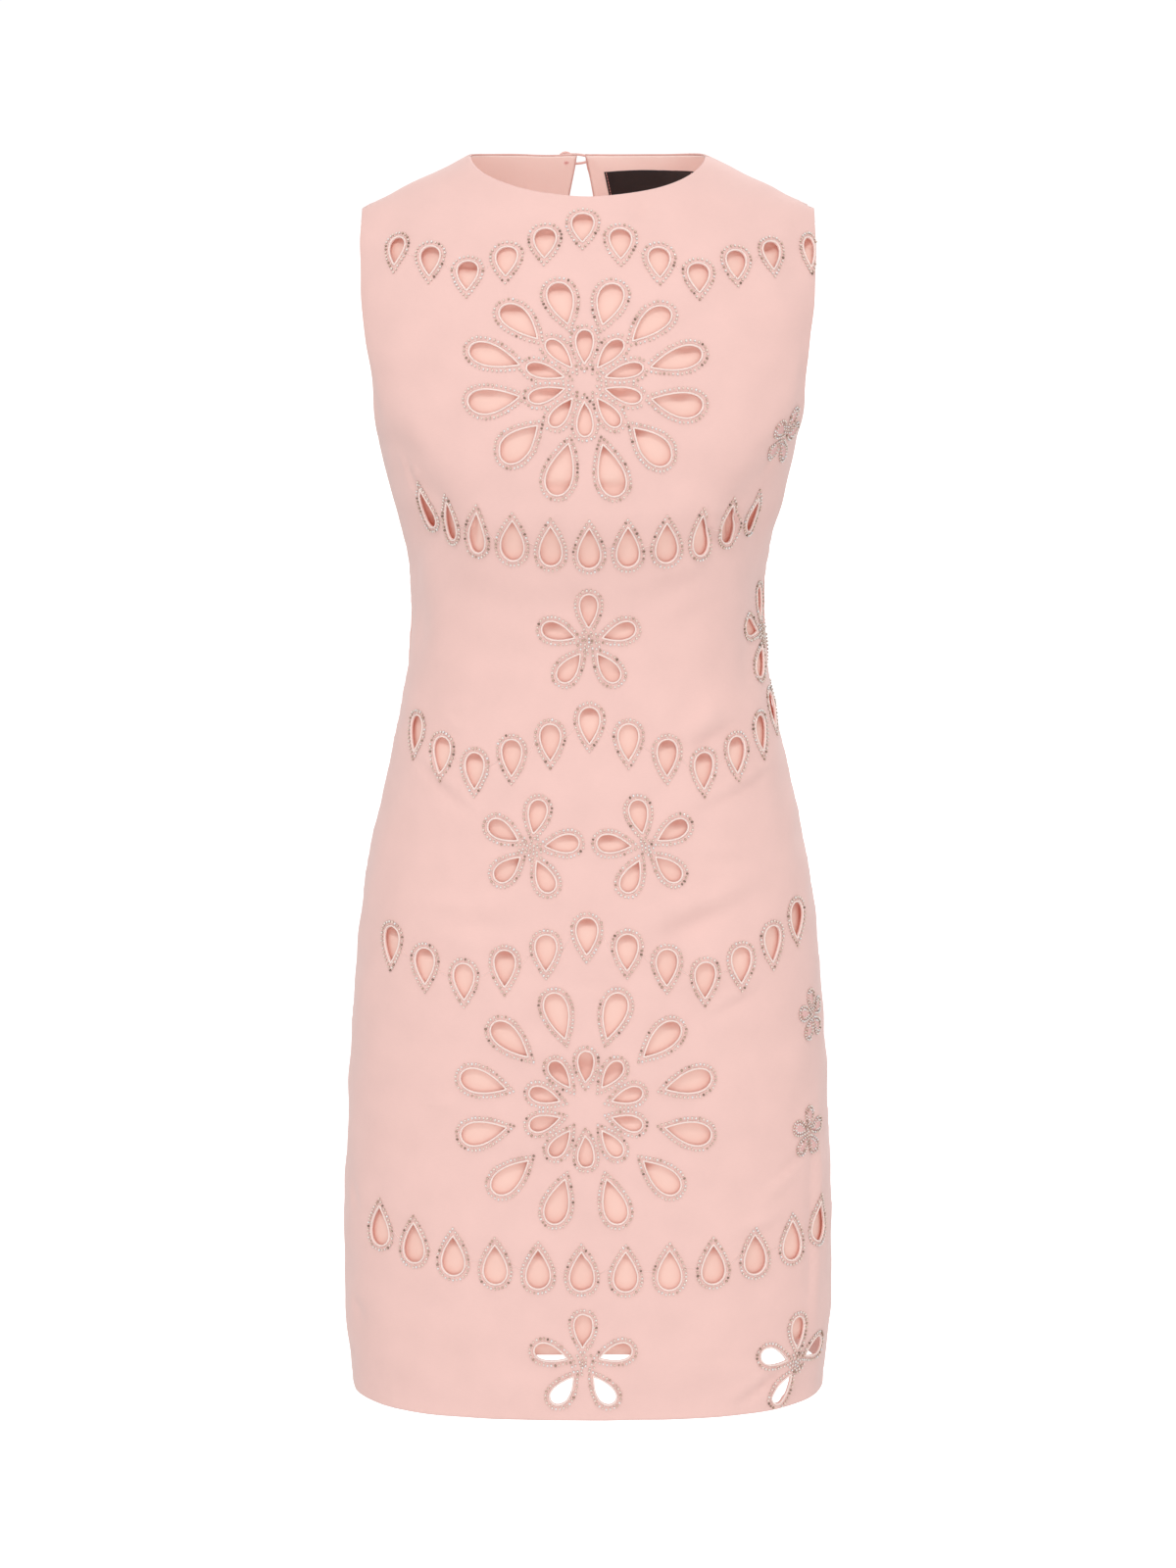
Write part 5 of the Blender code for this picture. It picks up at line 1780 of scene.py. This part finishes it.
def make_label():
    width, tall = LABEL_SIZE
    bm = bmesh.new()
    bmesh.ops.create_grid(bm, x_segments=60, y_segments=20, size=0.5)
    bmesh.ops.scale(bm, verts=bm.verts, vec=(width, tall, 1))
    bmesh.ops.translate(bm, verts=bm.verts, vec=(width / 2, -tall / 2, 0))
    uv = bm.loops.layers.uv.new("cloth")
    for face in bm.faces:
        face.smooth = True
        for loop in face.loops:
            loop[uv].uv = loop.vert.co.xy + Vector(UV_CORNER)
    mesh = bpy.data.meshes.new("neck_label")
    bm.to_mesh(mesh)
    bm.free()
    right, up = flat_columns(mesh)
    ends = np.minimum(right, width - right)
    fold = 0.00025 * np.exp(-((ends / 0.004) ** 4))
    bow = 0.0006 * np.sin(right / width * math.pi) * np.sin(-up / tall * math.pi)
    across, along = on_label(right, -up).T
    inset = lining_inset("back", across, along) + LINING_CLOTH
    move_to(mesh, placed("back", across, along, -(inset + 0.0002 + fold + bow), folded=0.0))
    label = add_object("neck_label", mesh, label_satin)
    thicken(label, LABEL_CLOTH)
    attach(label, "root")
    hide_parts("label")
    return label


label = make_label()
print("label faces:", len(label.data.polygons))

# %% [markdown]
# The button stands on a short stem, with its underside just clear of the cloth. The loop is one closed tube.

# %% Button and loop
BUTTON_RADIUS = 0.0052
BUTTON_STAND = 0.0022
LOOP_RADIUS = 0.0009


def make_button():
    """A dome turned from its profile, drawn in slightly where its cloth is gathered under it."""
    spot = flat_at("back", *BUTTON_CENTRE)[0]
    seat = Vector(placed("back", *spot, 0.0003)[0])
    up = Vector(outward("back", *[np.array([value]) for value in spot])[0])
    turn = up.to_track_quat("Z", "Y").to_matrix()
    bm = bmesh.new()
    profile = [(0.0, 0.0040), (0.30, 0.0039), (0.58, 0.0034), (0.82, 0.0025), (0.96, 0.0014), (1.0, 0.0007)]
    profile += [(0.97, 0.0002), (0.80, 0.0), (0.30, 0.0), (0.28, -BUTTON_STAND), (0.0, -BUTTON_STAND)]
    verts = [bm.verts.new((share * BUTTON_RADIUS, 0, height)) for share, height in profile]
    edges = [bm.edges.new(pair) for pair in zip(verts, verts[1:])]
    bmesh.ops.spin(
        bm, geom=verts + edges, cent=(0, 0, 0), axis=(0, 0, 1), angle=math.tau, steps=40, use_merge=True
    )
    bmesh.ops.remove_doubles(bm, verts=bm.verts, dist=1e-6)
    bmesh.ops.recalc_face_normals(bm, faces=bm.faces)
    for vert in bm.verts:
        rim = math.exp(-(((vert.co.xy.length / BUTTON_RADIUS - 0.95) / 0.2) ** 2))
        vert.co.z += 0.00012 * rim * math.sin(13 * math.atan2(vert.co.y, vert.co.x))
    for face in bm.faces:
        face.smooth = True
    uv = bm.loops.layers.uv.new("cloth")
    for face in bm.faces:
        for loop in face.loops:
            loop[uv].uv = loop.vert.co.xy + Vector(UV_CORNER)
    bmesh.ops.rotate(bm, verts=bm.verts, cent=(0, 0, 0), matrix=turn)
    bmesh.ops.translate(bm, verts=bm.verts, vec=seat + up * BUTTON_STAND)
    mesh = bpy.data.meshes.new("covered_button")
    bm.to_mesh(mesh)
    bm.free()
    button = add_object("covered_button", mesh, poplin)
    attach(button, "root")
    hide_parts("button")
    return button


def make_loop():
    """The loop of narrow tube, flat on the cloth outside the back neck."""
    turn = np.arange(64) * math.tau / 64
    x = LOOP_CENTRE[0] + LOOP_HALF[0] * np.cos(turn)
    height = LOOP_CENTRE[1] + LOOP_HALF[1] * np.sin(turn)
    spots = flat_at("back", x, height)
    path = placed("back", spots[:, 0], spots[:, 1], LOOP_RADIUS + 0.0002, folded=0.0)
    loop = curve_piece("button_loop", [(path, True)], LOOP_RADIUS, 12, poplin)
    loop.data.uv_layers[0].name = "cloth"
    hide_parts("loop")
    return loop


button, loop_cord = make_button(), make_loop()
print("button and loop faces:", len(button.data.polygons), len(loop_cord.data.polygons))

# %% [markdown]
# ## Stitches
# The hem is caught with small prick stitches, a few millimetres apart. Inside the back neck, the button's
# own stitches come through as a small star of thread, and the label is sewn down its two short ends.

# %% Hem and label stitches
HEM_STITCH_PITCH = 0.0055
HEM_STITCH_SIZE = 0.62
HEM_STITCH_LIFT = -0.0001
BUTTON_STITCH_HALF = 0.0016
LABEL_STITCH_HALF = 0.0008
LABEL_MARGIN = (0.0015, 0.0012)
LABEL_STITCHES = 8
OVER_LABEL, OVER_LINING = 0.0011, 0.0001
INNER_STITCH_RADIUS = 0.00022


def line_spots(start, end, pitch):
    start, end = np.array(start), np.array(end)
    count = max(round(float(np.linalg.norm(end - start)) / pitch), 2)
    spots = start + (end - start) * np.linspace(0, 1, count)[:, None]
    return spots, np.tile(end - start, (count, 1)) / np.linalg.norm(end - start)


def make_hem_stitches(side):
    half = float(half_round(side, HEM + HEM_DEPTH)[0]) - 0.004
    spots, runs = line_spots((-half, HEM + HEM_DEPTH), (half, HEM + HEM_DEPTH), HEM_STITCH_PITCH)
    cut = out_of_petals(spots, PETALS[side], 0.004)
    runs = runs[: len(cut)]
    size, tone = np.full(len(cut), HEM_STITCH_SIZE), np.ones(len(cut))
    name = "hem_stitches_" + side
    return sew_on(name, stitch, side, cut, runs, HEM_STITCH_LIFT, size, tone, thread_pink)


def make_inner_stitches():
    """The stitches that hold the button and the label, on the inner face of the back lining."""
    paths = []
    x, z = flat_at("back", *BUTTON_CENTRE)[0]
    for turn in (15, 70, 125, 165):
        dx = BUTTON_STITCH_HALF * math.cos(math.radians(turn))
        dz = BUTTON_STITCH_HALF * math.sin(math.radians(turn))
        paths.append([(x - dx, z - dz), (x, z), (x + dx, z + dz)])
    width, tall = LABEL_SIZE
    aside, above = LABEL_MARGIN
    for right in (aside, width - aside):
        for down in np.linspace(above, tall - above, LABEL_STITCHES):
            paths.append(on_label([right] * 3, [down - LABEL_STITCH_HALF, down, down + LABEL_STITCH_HALF]))
    drawn = []
    for path in paths:
        path = np.array(path)
        inset = lining_inset("back", path[:, 0], path[:, 1]) + LINING_CLOTH
        over = OVER_LABEL if path[0, 0] > x + 0.01 else OVER_LINING
        arch = np.array([-0.0002, 0.0003, -0.0002])
        points = placed("back", path[:, 0], path[:, 1], -(inset + over + arch), folded=0.0)
        drawn.append((points, False))
    sewn = curve_piece("inner_stitches", drawn, INNER_STITCH_RADIUS, 6, thread_pink)
    return sewn


hem_stitches = {side: make_hem_stitches(side) for side in SIDES}
inner_stitches = make_inner_stitches()
for form in (bead_form, glitter_form, stitch):
    bpy.data.objects.remove(form)
print("hem stitch faces:", {side: len(hem_stitches[side].data.polygons) for side in SIDES})
print("inner stitch faces:", len(inner_stitches.data.polygons))

# %% [markdown]
# ## The cut of each piece of cloth
# The size and area that each panel and lining were cut to are printed from the flat pattern.

def cut_size(outline):
    """Width, length and area of a flat outline."""
    width, length = np.ptp(outline, axis=0)
    x, z = outline.T
    area = abs(float((x * np.roll(z, -1) - np.roll(x, -1) * z).sum())) / 2
    return (float(width), float(length)), area


for side in SIDES:
    size, area = cut_size(OUTLINES[side])
    on_it = [cords[side], jumps[side], beads[side, "silver"], beads[side, "cut"], hem_stitches[side]]
    on_it += list(satin_flowers[side])
    print(side, "panel cut in mm:", [round(v * 1000) for v in size], "area in m2:", round(area, 4))
    size, area = cut_size(lining_outline(side))
    print(side, "lining cut in mm:", [round(v * 1000) for v in size], "area in m2:", round(area, 4))
